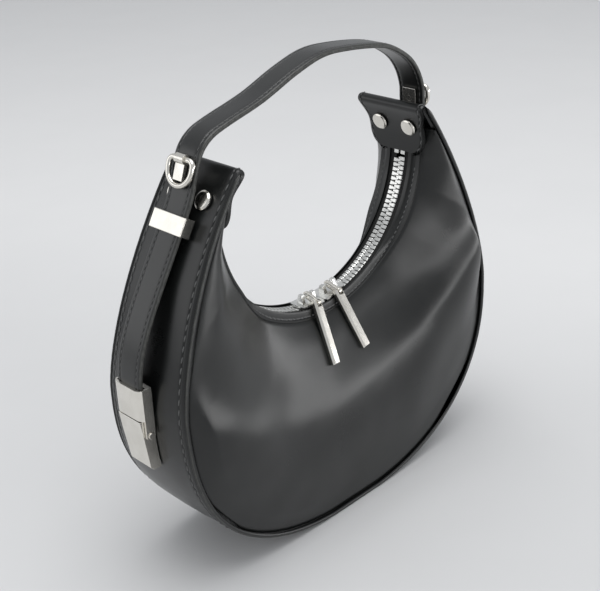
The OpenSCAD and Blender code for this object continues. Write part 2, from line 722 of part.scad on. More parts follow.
function strap_ring(p, n) = [for (c = [
    [-strap_w / 2, -strap_t / 2 + strap_edge], [-strap_w / 2, strap_t / 2 - strap_edge],
    [-strap_w / 2 + strap_edge, strap_t / 2], [strap_w / 2 - strap_edge, strap_t / 2],
    [strap_w / 2, strap_t / 2 - strap_edge], [strap_w / 2, -strap_t / 2 + strap_edge],
    [strap_w / 2 - strap_edge, -strap_t / 2], [-strap_w / 2 + strap_edge, -strap_t / 2]
]) [p.x + n.x * c.y, c.x, p.y + n.y * c.y]];
function path_normal(path, i) =
    let (d = unit(path[min(len(path) - 1, i + 1)] - path[max(0, i - 1)]))
    [-d.y, d.x];
module strap_run(path) {
    strip_solid([for (i = [0 : len(path) - 1]) strap_ring(path[i], path_normal(path, i))]);
}
strap_steps = 4;
handle_path = spline(handle_places, strap_steps);
module handle_strap() color(black_leather) difference() {
    strap_run(handle_path);
    for (side = [-1, 1]) at_ring(side) translate([0, 0, -tongue_post_drop]) rotate([0, 90, 0])
        cylinder(d = rivet_post_d + 2 * running, h = 4 * strap_t, center = true, $fn = round_small);
}

// The strap's tails run from the keepers down into the ferrules
clasp_face = half_w + clasp_stand;
clasp_top_h = clasp_split_h + ferrule_l;
ferrule_wall = 1.6;
ferrule_gap = 0.5;
ferrule_bottom_h = clasp_split_h + ferrule_gap / 2;
slot_ease = 0.2;
tail_top_gap = 0.2;
strap_face = clasp_face - ferrule_wall - slot_ease;
tail_foot_x = strap_face - strap_t / 2;
tail_places = [
    [foot_x + tail_top_gap * 0.4, handle_foot_h - tail_top_gap],
    [mix(foot_x, tail_foot_x, 0.26), mix(handle_foot_h, clasp_top_h, 0.21)],
    [mix(foot_x, tail_foot_x, 0.51), mix(handle_foot_h, clasp_top_h, 0.405)],
    [mix(foot_x, tail_foot_x, 0.745), mix(handle_foot_h, clasp_top_h, 0.6)],
    [mix(foot_x, tail_foot_x, 0.92), mix(handle_foot_h, clasp_top_h, 0.79)],
    [tail_foot_x, clasp_top_h + strap_t],
    [tail_foot_x, clasp_top_h - strap_t],
    [tail_foot_x, ferrule_bottom_h + ferrule_wall + 2 * seat]
];
tail_path = reversed(spline(tail_places, strap_steps));
module left_strap_tail() color(black_leather) on_side(-1) mirror([0, 1, 0]) strap_run(tail_path);
module right_strap_tail() color(black_leather) on_side(1) strap_run(tail_path);

// Keepers: a flat metal loop round the strap, with a tenon through the
// gusset that is peened over a washer inside the bag
keeper_side_t = 1.8;
keeper_back_t = 1;
keeper_ease = 0.5;
keeper_back_ease = 0.2;
keeper_tenon_d = 3;
keeper_washer_d = 8;
keeper_washer_t = 0.8;
keeper_chord = tail_places[1] - tail_places[0];
keeper_lean = atan2(keeper_chord.x, -keeper_chord.y);
keeper_middle = tail_places[0] + unit(keeper_chord) * keeper_h / 2;
keeper_front = strap_t / 2 + keeper_ease;
keeper_back = strap_t / 2 + keeper_back_ease;
keeper_wall_x = -keeper_back - keeper_back_t;
keeper_inside = outer_x_at(keeper_middle.y) * cos(keeper_lean)
    - keeper_middle.x * cos(keeper_lean) - leather_t + swell_at(keeper_middle.y);
module at_keeper() {
    translate([keeper_middle.x, 0, keeper_middle.y]) rotate([0, -keeper_lean, 0]) children();
}
module keeper_tenon(diameter) {
    translate([keeper_inside - keeper_washer_t - 4 * seat, 0, 0]) rotate([0, 90, 0])
        cylinder(d = diameter, h = keeper_wall_x + keeper_back_t / 2 - keeper_inside
            + keeper_washer_t + 4 * seat, $fn = round_small);
}
module keeper() at_keeper() {
    difference() {
        translate([keeper_wall_x, -keeper_w / 2, -keeper_h / 2])
            cube([keeper_front + keeper_t - keeper_wall_x, keeper_w, keeper_h]);
        translate([-keeper_back, -keeper_w / 2 + keeper_side_t, -keeper_h / 2 - overrun])
            cube([keeper_front + keeper_back, keeper_w - 2 * keeper_side_t, keeper_h + 2 * overrun]);
    }
    keeper_tenon(keeper_tenon_d);
}
module keeper_washer() at_keeper() difference() {
    translate([keeper_inside - keeper_washer_t - 3 * seat, 0, 0]) rotate([0, 90, 0])
        cylinder(d = keeper_washer_d, h = keeper_washer_t, $fn = round_small);
    keeper_tenon(keeper_tenon_d + 2 * running);
}
module left_keeper() color(bright_steel) on_side(-1) keeper();
module right_keeper() color(bright_steel) on_side(1) keeper();
module keeper_washers() color(silver) for (side = [-1, 1]) on_side(side) keeper_washer();

// Rings and their tongues on the handle's legs. Local X points out of the
// strap's face, local Z up along it, and the origin is the ring's hinge.
ring_place_share = 0.39;
tongue_ease = 0.5;
ring_lift = ring_wire_d / 2 + tongue_ease + seat;
ring_chord_steps = 6;
ring_index = [for (i = [0 : len(handle_path) - 1])
    if (handle_path[i].y > handle_foot_h + handle_rise * ring_place_share) i];
left_ring_i = ring_index[0];
right_ring_i = ring_index[len(ring_index) - 1];
module at_ring(side) {
    i = side < 0 ? left_ring_i : right_ring_i;
    chord = unit(handle_path[i] - handle_path[i + side * ring_chord_steps]);
    n = side * [chord.y, -chord.x];
    lean = atan2(n.y, side * n.x);
    place = handle_path[i] + n * (strap_t / 2 + ring_lift);
    translate([place.x, 0, place.y]) on_side(side) rotate([0, -lean, 0]) children();
}
ring_r = (ring_w - ring_wire_d) / 2;
ring_corner = ring_wire_d * 1.1;
module ring() {
    rotate([0, 0, 90]) rotate([90, 0, 0]) {
        translate([0, -ring_side - ring_corner, 0]) rotate([0, 0, half_turn])
            rotate_extrude(angle = half_turn, $fn = round_fine)
                translate([ring_r, 0]) circle(d = ring_wire_d, $fn = round_small);
        for (end = [-1, 1]) {
            translate([end * ring_r, -ring_corner - ring_side / 2, 0]) rotate([90, 0, 0])
                cylinder(d = ring_wire_d, h = ring_side, center = true, $fn = round_small);
            translate([end * (ring_r - ring_corner), -ring_corner, 0])
                rotate([0, 0, end < 0 ? 90 : 0]) rotate_extrude(angle = 90, $fn = round_fine)
                    translate([ring_corner, 0]) circle(d = ring_wire_d, $fn = round_small);
        }
        rotate([0, 90, 0]) cylinder(d = ring_wire_d, h = 2 * (ring_r - ring_corner), center = true,
            $fn = round_small);
    }
}
knuckle_wall = 1.1;
knuckle_d = ring_wire_d + 2 * running + 2 * knuckle_wall;
tongue_t = ring_wire_d * 0.75;
tongue_post_drop = tongue_l * 0.6;
plate_t = 1;
plate_w = tongue_w * 1.4;
plate_l = tongue_l * 1.1;
plate_ease = 0.4;
plate_x = -ring_lift - strap_t - plate_ease - plate_t;
module ring_tongue() {
    difference() {
        union() {
            rotate([90, 0, 0]) cylinder(d = knuckle_d, h = tongue_w, center = true, $fn = round_fine);
            translate([-ring_lift + tongue_ease, -tongue_w / 2, -tongue_l])
                cube([tongue_t, tongue_w, tongue_l]);
        }
        rotate([90, 0, 0]) cylinder(d = ring_wire_d + 2 * running, h = tongue_w + 2 * overrun,
            center = true, $fn = round_fine);
        translate([-ring_lift - knuckle_d, -tongue_w, -knuckle_d])
            cube([knuckle_d + tongue_ease, 2 * tongue_w, 2 * knuckle_d]);
    }
    translate([plate_x, 0, -tongue_post_drop]) rotate([0, 90, 0])
        cylinder(d = rivet_post_d, h = tongue_ease + tongue_t / 2 - ring_lift - plate_x,
            $fn = round_small);
}
module ring_plate() {
    difference() {
        translate([plate_x, -plate_w / 2, -tongue_post_drop - plate_l / 2])
            cube([plate_t, plate_w, plate_l]);
        translate([plate_x, 0, -tongue_post_drop]) rotate([0, 90, 0])
            cylinder(d = rivet_post_d + 2 * running, h = 4 * plate_t, center = true, $fn = round_small);
    }
}

// Clasps: a base fixed to the gusset and a ferrule hinged to it, into which
// the strap's tail goes
clasp_foot_h = clasp_split_h - base_l;
clasp_foot_face = half_w + clasp_foot_stand;
clasp_hinge_h = clasp_split_h - hinge_drop;
cheek_t = 1.5;
clasp_chamfer = 2;
cheek_r = (ferrule_t - clasp_chamfer) / 2 - seat;
hinge_x = clasp_face - clasp_chamfer - seat - cheek_r;
hinge_fit = 0.04;
ferrule_section = [
    [clasp_face - ferrule_t, -clasp_w / 2],
    [clasp_face - clasp_chamfer, -clasp_w / 2],
    [clasp_face, -clasp_w / 2 + clasp_chamfer],
    [clasp_face, clasp_w / 2 - clasp_chamfer],
    [clasp_face - clasp_chamfer, clasp_w / 2],
    [clasp_face - ferrule_t, clasp_w / 2]
];
module ferrule() {
    difference() {
        union() {
            translate([0, 0, ferrule_bottom_h])
                linear_extrude(clasp_top_h - ferrule_bottom_h) polygon(ferrule_section);
            for (end = [-1, 1]) {
                translate([hinge_x, end * (clasp_w - cheek_t) / 2, clasp_hinge_h]) rotate([90, 0, 0])
                    cylinder(r = cheek_r, h = cheek_t, center = true, $fn = round_fine);
                translate([hinge_x - cheek_r, end * (clasp_w - cheek_t) / 2 - cheek_t / 2, clasp_hinge_h])
                    cube([2 * cheek_r, cheek_t, ferrule_bottom_h - clasp_hinge_h + overrun]);
            }
        }
        translate([clasp_face - ferrule_wall - 2 * slot_ease - strap_t, -strap_w / 2 - slot_ease,
                ferrule_bottom_h + ferrule_wall])
            cube([strap_t + 2 * slot_ease, strap_w + 2 * slot_ease, clasp_top_h]);
        hinge_bore();
    }
}
module hinge_bore() {
    translate([hinge_x, 0, clasp_hinge_h]) rotate([90, 0, 0]) cylinder(
        d = hinge_pin_d + 2 * hinge_fit, h = clasp_w + 2 * overrun, center = true, $fn = round_fine);
}
base_top_h = clasp_split_h - ferrule_gap / 2;
base_steps = 6;
base_side_clear = 0.25;
function base_back(h) = outer_side_x(h) + swell_at(h) + seat * 2;
function outer_side_x(h) = h > widest_h ? outer_x_at(h) : half_w * pow(
    1 - pow((widest_h - h) / (widest_h + rest_flat), lower_square_share), 1 / lower_square_share);
base_profile = concat(
    [
        [clasp_face - clasp_chamfer / 2, base_top_h],
        [clasp_face, base_top_h - clasp_chamfer / 2],
        [clasp_foot_face, clasp_foot_h + clasp_chamfer],
        [clasp_foot_face - clasp_chamfer, clasp_foot_h]
    ],
    [for (i = [0 : base_steps])
        let (h = mix(clasp_foot_h, base_top_h, i / base_steps))
        [base_back(h), h]]
);
base_top_half = clasp_w / 2 - cheek_t - base_side_clear;
base_foot_half = clasp_w * 0.38;
module clasp_base() {
    difference() {
        intersection() {
            translate([0, clasp_w / 2, 0]) rotate([90, 0, 0])
                linear_extrude(clasp_w) polygon(base_profile);
            rotate([90, 0, 90]) linear_extrude(2 * clasp_face) polygon([
                [-base_foot_half, clasp_foot_h - overrun], [base_foot_half, clasp_foot_h - overrun],
                [base_top_half, clasp_hinge_h - cheek_r], [base_top_half, base_top_h + overrun],
                [-base_top_half, base_top_h + overrun], [-base_top_half, clasp_hinge_h - cheek_r]
            ]);
        }
        hinge_bore();
        screw_places() rotate([0, 90, 0])
            cylinder(d = screw_d + 2 * running, h = 2 * screw_bite, center = true, $fn = round_small);
    }
}
pin_head_d = 3.6;
pin_head_t = 0.6;
module hinge_pin() {
    translate([hinge_x, 0, clasp_hinge_h]) rotate([90, 0, 0]) {
        cylinder(d = hinge_pin_d, h = clasp_w + 2 * pin_head_t, center = true, $fn = round_fine);
        for (end = [-1, 1]) translate([0, 0, end * (clasp_w / 2 + pin_head_t / 2 + running)])
            cylinder(d = pin_head_d, h = pin_head_t, center = true, $fn = round_fine);
    }
}

// Screws from inside the bag hold each clasp's base
screw_d = 2.6;
screw_head_d = 5;
screw_head_t = 1.1;
screw_head_ease = 1;
screw_bite = 4;
screw_hole_l = 4 * leather_t + 2 * gusset_swell;
screw_low_h = mix(clasp_foot_h, clasp_hinge_h, 0.28);
screw_high_h = mix(clasp_foot_h, clasp_hinge_h, 0.72);
module screw_places() {
    for (h = [screw_low_h, screw_high_h]) translate([base_back(h), 0, h]) children();
}
module clasp_screw() {
    rotate([0, 90, 0]) {
        translate([0, 0, -leather_t - screw_head_ease])
            cylinder(d = screw_d, h = leather_t + screw_head_ease + screw_bite * 0.9, $fn = round_small);
        translate([0, 0, -leather_t - screw_head_ease - screw_head_t])
            cylinder(d = screw_head_d, h = screw_head_t, $fn = round_small);
    }
}

front_panel();
back_panel();
gusset();
front_rib();
back_rib();
front_facing();
back_facing();
lining();
front_tape();
back_tape();
front_teeth();
back_teeth();
zip_end_stops();
left_slider();
left_pull_link();
left_pull_bar();
right_slider();
right_pull_link();
right_pull_bar();
horn_rivets(-1);  // left_rivets
horn_rivets(1);  // right_rivets
horn_rivet_caps(-1);  // left_rivet_caps
horn_rivet_caps(1);  // right_rivet_caps
handle_strap();
left_strap_tail();
right_strap_tail();
left_keeper();
right_keeper();
keeper_washers();
color(bright_steel) at_ring(-1) ring_tongue();  // left_ring_tongue
color(bright_steel) at_ring(1) ring_tongue();  // right_ring_tongue
color(silver) at_ring(-1) ring();  // left_ring
color(silver) at_ring(1) ring();  // right_ring
color(bright_steel) at_ring(-1) ring_plate();  // left_ring_plate
color(bright_steel) at_ring(1) ring_plate();  // right_ring_plate
color(bright_steel) on_side(-1) clasp_base();  // left_clasp_base
color(bright_steel) on_side(1) clasp_base();  // right_clasp_base
color(bright_steel) on_side(-1) ferrule();  // left_ferrule
color(bright_steel) on_side(1) ferrule();  // right_ferrule
color(silver) on_side(-1) hinge_pin();  // left_hinge_pin
color(silver) on_side(1) hinge_pin();  // right_hinge_pin
color(silver) on_side(-1) screw_places() clasp_screw();  // left_clasp_screws
color(silver) on_side(1) screw_places() clasp_screw();  // right_clasp_screws
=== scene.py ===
# %% [markdown]
# # A half-moon leather handbag
# The real bag is sewn from two crescent panels and one wide gusset, closed by a curved metal zip,
# and carried by one strap that is held in metal clasps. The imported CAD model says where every
# piece lies. This script keeps the metal where the CAD has it, gives it rounded edges and a
# polish, and makes the leather, thread and cloth again as thin soft shells, because a cushion of
# plain facets never looks sewn.

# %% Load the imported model
import json
import math

import bmesh
import bpy
from mathutils import Matrix, Vector, noise

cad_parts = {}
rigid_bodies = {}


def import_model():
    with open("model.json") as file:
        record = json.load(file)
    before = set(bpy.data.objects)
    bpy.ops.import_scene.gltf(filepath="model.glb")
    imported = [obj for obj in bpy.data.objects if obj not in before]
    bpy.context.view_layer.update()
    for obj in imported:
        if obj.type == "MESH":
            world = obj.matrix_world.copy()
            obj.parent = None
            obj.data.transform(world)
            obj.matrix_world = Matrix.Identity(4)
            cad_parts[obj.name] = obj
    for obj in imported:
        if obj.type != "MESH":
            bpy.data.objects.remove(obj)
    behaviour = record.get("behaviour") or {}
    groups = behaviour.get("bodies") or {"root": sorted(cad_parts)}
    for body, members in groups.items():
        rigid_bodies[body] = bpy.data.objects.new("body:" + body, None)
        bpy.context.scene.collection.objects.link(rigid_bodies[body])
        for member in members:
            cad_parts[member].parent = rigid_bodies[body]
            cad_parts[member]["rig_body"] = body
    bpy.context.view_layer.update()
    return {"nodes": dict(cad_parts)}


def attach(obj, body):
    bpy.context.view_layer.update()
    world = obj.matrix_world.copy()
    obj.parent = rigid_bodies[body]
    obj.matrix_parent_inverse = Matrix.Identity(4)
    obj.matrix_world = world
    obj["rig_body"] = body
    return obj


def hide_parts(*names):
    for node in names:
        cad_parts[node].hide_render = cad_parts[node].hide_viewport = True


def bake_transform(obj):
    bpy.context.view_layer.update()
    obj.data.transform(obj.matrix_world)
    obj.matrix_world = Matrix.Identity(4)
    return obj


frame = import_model()
nodes = frame["nodes"]

# %% [markdown]
# ## Camera
# The photograph looks down on the front left of the bag. A camera is a place and three
# directions, and those come from two angles round the bag, a small roll, and a distance. The lens
# follows from the focal length in pixels of a picture that is 600 pixels wide.

# %% Camera
MM = 0.001
picture_w_px = 600
focal_px = 1087.64
sensor_w = 36
look_at = Vector((-9.92, 0, 128.14)) * MM
camera_distance = 604.67 * MM
azimuth = math.radians(-44.08)
elevation = math.radians(25.7)
roll = math.radians(-2.35)
view_depth_m = 20

back = Vector((math.sin(azimuth) * math.cos(elevation),
               -math.cos(azimuth) * math.cos(elevation),
               math.sin(elevation)))
level_right = Vector((math.cos(azimuth), math.sin(azimuth), 0))
level_up = back.cross(level_right)
right = math.cos(roll) * level_right + math.sin(roll) * level_up
up = math.cos(roll) * level_up - math.sin(roll) * level_right

camera_data = bpy.data.cameras.new("camera")
camera_data.sensor_width = sensor_w
camera_data.sensor_fit = "HORIZONTAL"
camera_data.lens = sensor_w * focal_px / picture_w_px
camera_data.clip_end = view_depth_m
camera = bpy.data.objects.new("camera", camera_data)
bpy.context.scene.collection.objects.link(camera)
turned = Matrix((right, up, back)).transposed().to_4x4()
camera.matrix_world = Matrix.Translation(look_at + back * camera_distance) @ turned
bpy.context.scene.camera = camera
print("lens", round(camera_data.lens, 2), "mm")

# %% [markdown]
# ## Shader sums
# A finish is mostly arithmetic: grain times a little depth, plus a cloudy change of gloss.
# Drawing that as nodes by hand is slow to read, so a small class wraps a socket and turns plus,
# minus and times into Math nodes. Every other node comes from one method, which sets the node's
# choices first and then its inputs.

# %% A value in a material
class Amount:
    """A number that changes over a surface, wired as a socket."""

    def __init__(self, finish, socket):
        self.finish = finish
        self.socket = socket

    def _math(self, operation, first, second):
        made = self.finish.node("ShaderNodeMath", {"operation": operation}, {0: first, 1: second})
        return Amount(self.finish, made.outputs[0])

    def __add__(self, other):
        return self._math("ADD", self, other)

    def __radd__(self, other):
        return self._math("ADD", other, self)

    def __sub__(self, other):
        return self._math("SUBTRACT", self, other)

    def __rsub__(self, other):
        return self._math("SUBTRACT", other, self)

    def __mul__(self, other):
        return self._math("MULTIPLY", self, other)

    def __rmul__(self, other):
        return self._math("MULTIPLY", other, self)

    def smooth(self, low, high):
        """0 below low, 1 above high, and an S-curve between them."""
        made = self.finish.node(
            "ShaderNodeMapRange",
            {"interpolation_type": "SMOOTHSTEP"},
            {"Value": self, "From Min": low, "From Max": high},
        )
        return Amount(self.finish, made.outputs["Result"])


# %% A material under construction
class Finish:
    """A Principled material, with short names for the patterns that the finishes here share."""

    def __init__(self, name):
        self.material = bpy.data.materials.new(name)
        self.material.use_nodes = True
        self.tree = self.material.node_tree
        self.shader = self.tree.nodes["Principled BSDF"]
        self.coordinates = self.node("ShaderNodeTexCoord")

    def node(self, kind, settings=None, inputs=None):
        made = self.tree.nodes.new(kind)
        for name, value in (settings or {}).items():
            setattr(made, name, value)
        for name, value in (inputs or {}).items():
            self.feed(made.inputs[name], value)
        return made

    def feed(self, socket, value):
        if isinstance(value, Amount):
            value = value.socket
        if isinstance(value, bpy.types.NodeSocket):
            self.tree.links.new(value, socket)
        else:
            socket.default_value = value

    def placed(self, stretch=(1, 1, 1), turn=(0, 0, 0), space="Object"):
        """Coordinates that are stretched and turned, so that a pattern gets a direction."""
        made = self.node("ShaderNodeMapping", None, {
            "Vector": self.coordinates.outputs[space], "Scale": stretch, "Rotation": turn})
        return made.outputs["Vector"]

    def clouds(self, scale, detail=3, roughness=0.5, where=None):
        """Soft noise from 0 to 1. Scale is the number of clouds in a metre."""
        made = self.node("ShaderNodeTexNoise", None, {
            "Vector": where or self.placed(), "Scale": scale, "Detail": detail,
            "Roughness": roughness})
        return Amount(self, made.outputs["Fac"])

    def cells(self, scale):
        """Distance to the nearest border between cells. Scale is the number of cells in a metre."""
        made = self.node("ShaderNodeTexVoronoi", {"feature": "DISTANCE_TO_EDGE"}, {
            "Vector": self.placed(), "Scale": scale})
        return Amount(self, made.outputs["Distance"])

    def waves(self, scale, direction, where=None, distortion=0):
        """Soft bands from 0 to 1 along a direction."""
        made = self.node(
            "ShaderNodeTexWave",
            {"wave_type": "BANDS", "bands_direction": direction, "wave_profile": "SIN"},
            {"Vector": where or self.placed(), "Scale": scale, "Distortion": distortion},
        )
        return Amount(self, made.outputs["Fac"])

    def blended(self, share, low, high):
        """Colour low where share is 0 and colour high where it is 1."""
        made = self.node("ShaderNodeMix", {"data_type": "RGBA"}, {"Factor": share})
        for socket, colour in ((made.inputs[6], low), (made.inputs[7], high)):
            self.feed(socket, (*colour, 1) if isinstance(colour, tuple) else colour)
        return made.outputs[2]

    def relief(self, height, strength, depth_mm):
        """Bumps of a real depth, fed to the shader's normal."""
        made = self.node("ShaderNodeBump", None, {
            "Height": height, "Strength": strength, "Distance": depth_mm * MM})
        self.feed(self.shader.inputs["Normal"], made.outputs["Normal"])

    def set(self, **values):
        for name, value in values.items():
            self.feed(self.shader.inputs[name.replace("_", " ")], value)

# %% [markdown]
# ## The curves that the bag is cut to
# Seen from the front, the outer edge is two curves that meet at the widest place: a squarish
# lower half and shoulders that draw in to the horns. The mouth follows the zip, which lies on one
# arc of a circle. The leather is made from the same curves and sizes as the CAD model, in
# millimetres.

# %% The outer edge
half_w = 120
widest_h = 106
horn_h = 225
horn_x = 68
lower_square = 2.4
shoulder_square = 1.54
rest_flat = 0.6
leather_t = 1.8
seat = 0.1
shoulder_rise = (horn_h - widest_h) / (
    1 - (horn_x / half_w) ** shoulder_square) ** (1 / shoulder_square)
shoulder_turn = math.acos((horn_x / half_w) ** (shoulder_square / 2))


def mix(first, second, share):
    return first + (second - first) * share


def ease(share):
    share = min(1, max(0, share))
    return share * share * (3 - 2 * share)


def outline(share):
    """A place (x, z) on the outer edge: 0 is the bottom, 0.5 the widest, 1 the top of a horn."""
    if abs(share) <= 0.5:
        turn = math.pi * abs(share)
        x = half_w * math.sin(turn) ** (2 / lower_square)
        drop = (widest_h + rest_flat) * max(0, math.cos(turn)) ** (2 / lower_square)
        return Vector((math.copysign(x, share), max(0, widest_h - drop)))
    turn = shoulder_turn * (2 * abs(share) - 1)
    x = half_w * math.cos(turn) ** (2 / shoulder_square)
    z = widest_h + shoulder_rise * math.sin(turn) ** (2 / shoulder_square)
    return Vector((math.copysign(x, share), z))


def inward(share):
    """The direction into the bag, square to the outer edge."""
    step = 0.002
    along = outline(min(1, share + step)) - outline(max(-1, share - step))
    along.normalize()
    return Vector((-along.y, along.x))


def inset(share, depth):
    """A place that lies inside the outer edge by a depth."""
    return outline(share) + inward(share) * depth


print("shoulder rise", round(shoulder_rise, 1), "mm")

# %% The depth and the mouth
widest_d = 62
horn_d = 47
narrowing_share = 0.57
gusset_bulge = 2.6
bulge_full_share = 0.75
bulge_fade_share = 0.6
zip_r = 76.7
zip_axis_drop = 28.7
zip_axis_h = horn_h - zip_axis_drop
zip_reach = 84
arc_share = 0.88
tip_share = 0.925
rib_w = 2.4
mouth_half = 9
throat_half = 14.5
mouth_drop = 3.8
throat_drop = 0.8
widening_start = 0.36
widening_span = 0.35


def half_depth(height):
    """Half of the bag's depth: even below, and less towards the horns."""
    start = widest_h * narrowing_share
    return mix(widest_d, horn_d, ease((height - start) / (horn_h - start))) / 2


def gusset_swell(height):
    """How far the middle of the gusset stands out, which is nothing at the foot and the horns."""
    above_foot = ease(height / (widest_h * bulge_full_share))
    below_horn = ease((horn_h - height) / ((horn_h - widest_h) * bulge_fade_share))
    return gusset_bulge * above_foot * below_horn


def on_arc(radius, degrees):
    """A place (x, z) on an arc about the zip's centre, with 0 degrees straight down."""
    turn = math.radians(degrees)
    return Vector((radius * math.sin(turn), zip_axis_h - radius * math.cos(turn)))


def widening(degrees):
    """0 where the mouth is narrow, in its middle, and 1 where it is wide, at both ends."""
    return ease((abs(degrees) / zip_reach - widening_start) / widening_span)


def mouth_y(degrees):
    """Half of the mouth's width."""
    return mix(mouth_half, throat_half, widening(degrees))


def edge_drop(degrees):
    """How far outside the zip's arc the edge of a panel lies."""
    return mix(mouth_drop, throat_drop, widening(degrees))


tip_x = zip_r - leather_t * 0.6
tip = Vector((tip_x, outline(tip_share).y))


def mouth_edge(share):
    """The inner edge of a panel as (x, z), and its distance from the bag's middle plane."""
    part = abs(share)
    if part <= arc_share:
        degrees = zip_reach * part / arc_share
        place, y = on_arc(zip_r + edge_drop(degrees), degrees), mouth_y(degrees)
    else:
        part = (part - arc_share) / (1 - arc_share)
        place = on_arc(zip_r + throat_drop, zip_reach).lerp(tip, part)
        y = throat_half
    return Vector((math.copysign(place.x, share), place.y)), y


print("mouth", round(mouth_edge(0)[0].y, 1), "mm above the table")

# %% [markdown]
# ## Sheets that follow a rule
# Leather parts are sheets that bend. The quickest sheet in Blender is a grid from one bmesh
# operator, whose corners are then moved to where a rule says. Its UV map comes with it, so a
# weave or a painted edge can follow the sheet. A sheet whose two long sides meet becomes a strap
# or a rib.

# %% Sheet and piece helpers
seam_weld = 0.0005 * MM
corner_degrees = 50


def shaped_sheet(columns, rows, place, rolled=False, slots=None, away_from=None):
    """A grid of columns by rows faces; place(along, across) gives each corner in millimetres."""
    work = bmesh.new()
    work.loops.layers.uv.new("UVMap")
    bmesh.ops.create_grid(work, x_segments=columns, y_segments=rows, size=0.5, calc_uvs=True)
    if slots:
        for face in work.faces:
            middle = face.calc_center_median()
            face.material_index = slots(middle.x + 0.5, middle.y + 0.5)
    for corner in work.verts:
        corner.co = Vector(place(corner.co.x + 0.5, corner.co.y + 0.5)) * MM
    if rolled:
        bmesh.ops.remove_doubles(work, verts=work.verts, dist=seam_weld)
        rim = [edge for edge in work.edges if edge.is_boundary]
        bmesh.ops.holes_fill(work, edges=rim, sides=0)
        bmesh.ops.recalc_face_normals(work, faces=work.faces)
    if away_from:
        middle = Vector(away_from) * MM
        work.normal_update()
        facing = sum(
            (face.calc_center_median() - middle).dot(face.normal) * face.calc_area()
            for face in work.faces)
        if facing < 0:
            bmesh.ops.reverse_faces(work, faces=work.faces)
    return work


def finished(
        name, work, materials, body=None, replaced=(), sharp_degrees=corner_degrees):
    """Turns a bmesh into a smooth piece that stands for CAD nodes and moves with a body."""
    mesh = bpy.data.meshes.new(name)
    work.to_mesh(mesh)
    work.free()
    for material in materials:
        mesh.materials.append(material)
    mesh.polygons.foreach_set("use_smooth", [True] * len(mesh.polygons))
    mesh.set_sharp_from_angle(angle=math.radians(sharp_degrees))
    piece = bpy.data.objects.new(name, mesh)
    bpy.context.scene.collection.objects.link(piece)
    if replaced:
        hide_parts(*replaced)
    if body:
        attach(piece, body)
    print(name, len(mesh.polygons), "faces")
    return piece


def thickened(piece, thickness, edge):
    """Leather has a wall and a cut edge: Solidify goes inwards, and Bevel rounds what is sharp."""
    wall = piece.modifiers.new("wall", "SOLIDIFY")
    wall.thickness = thickness * MM
    wall.offset = -1
    wall.use_even_offset = True
    rounding = piece.modifiers.new("rounding", "BEVEL")
    rounding.width = edge * MM
    rounding.segments = 3
    rounding.limit_method = "ANGLE"
    rounding.angle_limit = math.radians(corner_degrees)
    rounding.harden_normals = True


# %% [markdown]
# ## Finishes
# The bag has three kinds of surface: smooth black leather with a soft sheen, waxed thread and matt
# cloth, and polished pale metal. Black leather is never one flat black: it has a fine grain,
# slightly cloudy gloss and a paler painted edge. The patterns lie in the piece's own coordinates,
# and the weave of the tape on its UV map, so nothing slides when a piece moves.

# %% Leather finishes
def leather(name, low, high, gloss, gleam, grain_mm, grain_depth_mm):
    """Black leather: fine pores and creases, cloudy gloss, and a thin coat of wax."""
    finish = Finish(name)
    clouded = finish.clouds(22, 4, 0.6)
    pores = finish.cells(1 / (grain_mm * MM))
    fine = finish.clouds(2600, 2, 0.5)
    creases = finish.clouds(160, 5, 0.65)
    colour = finish.blended(clouded.smooth(0.35, 0.7), low, high)
    finish.set(
        Base_Color=colour,
        Roughness=gloss - 0.03 + 0.09 * clouded - 0.02 * pores.smooth(0.02, 0.2),
        Specular_IOR_Level=gleam,
        Coat_Weight=0.05 + 0.05 * creases,
        Coat_Roughness=0.28,
    )
    grain = pores.smooth(0, 0.16) * 0.55 + fine * 0.3 + creases * 0.5
    finish.relief(grain, 0.5, grain_depth_mm)
    return finish.material


body_leather = leather(
    "body leather", low=(0.0035, 0.004, 0.004), high=(0.007, 0.0078, 0.0075),
    gloss=0.29, gleam=0.47, grain_mm=0.75, grain_depth_mm=0.03)
strap_leather = leather(
    "strap leather", low=(0.004, 0.0046, 0.0044), high=(0.008, 0.0088, 0.0082),
    gloss=0.31, gleam=0.6, grain_mm=0.6, grain_depth_mm=0.03)
print(body_leather.name, "and", strap_leather.name)

# %% Painted edges and thread
# The same paler colour is real edge paint on the strap and a painted highlight on the crest of each
# rib.
painted = Finish("edge paint")
smears = painted.clouds(700, 4, 0.6, painted.placed((1, 1, 0.4)))
painted.set(
    Base_Color=painted.blended(
        smears.smooth(0.3, 0.75), (0.02, 0.021, 0.019), (0.06, 0.061, 0.056)),
    Roughness=0.3 + 0.2 * smears,
)
painted.relief(smears, 0.4, 0.05)
edge_paint_and_crest_highlight = painted.material

thread_finish = Finish("waxed thread")
plies = thread_finish.waves(1500, "DIAGONAL", None, 1.5)
fuzz = thread_finish.clouds(4000, 2)
thread_finish.set(
    Base_Color=thread_finish.blended(
        plies.smooth(0.2, 0.8), (0.045, 0.046, 0.047), (0.13, 0.132, 0.13)),
    Roughness=0.34 + 0.2 * fuzz,
)
thread_finish.relief(plies + fuzz * 0.4, 0.7, 0.08)
thread = thread_finish.material
print(edge_paint_and_crest_highlight.name, "and", thread.name)

# %% Tape and lining cloth
tape_finish = Finish("woven tape")
tape_map = tape_finish.placed((236, 4, 1), (0, 0, 0), "UV")
warp = tape_finish.waves(0.55, "X", tape_map, 0.3)
weft = tape_finish.waves(0.9, "DIAGONAL", tape_map, 0.5)
lint = tape_finish.clouds(1800, 3)
tape_finish.set(
    Base_Color=tape_finish.blended(warp * weft, (0.006, 0.006, 0.006), (0.022, 0.022, 0.021)),
    Roughness=0.75 + 0.15 * lint,
)
tape_finish.relief(warp + weft + lint * 0.3, 0.7, 0.12)
zip_tape = tape_finish.material

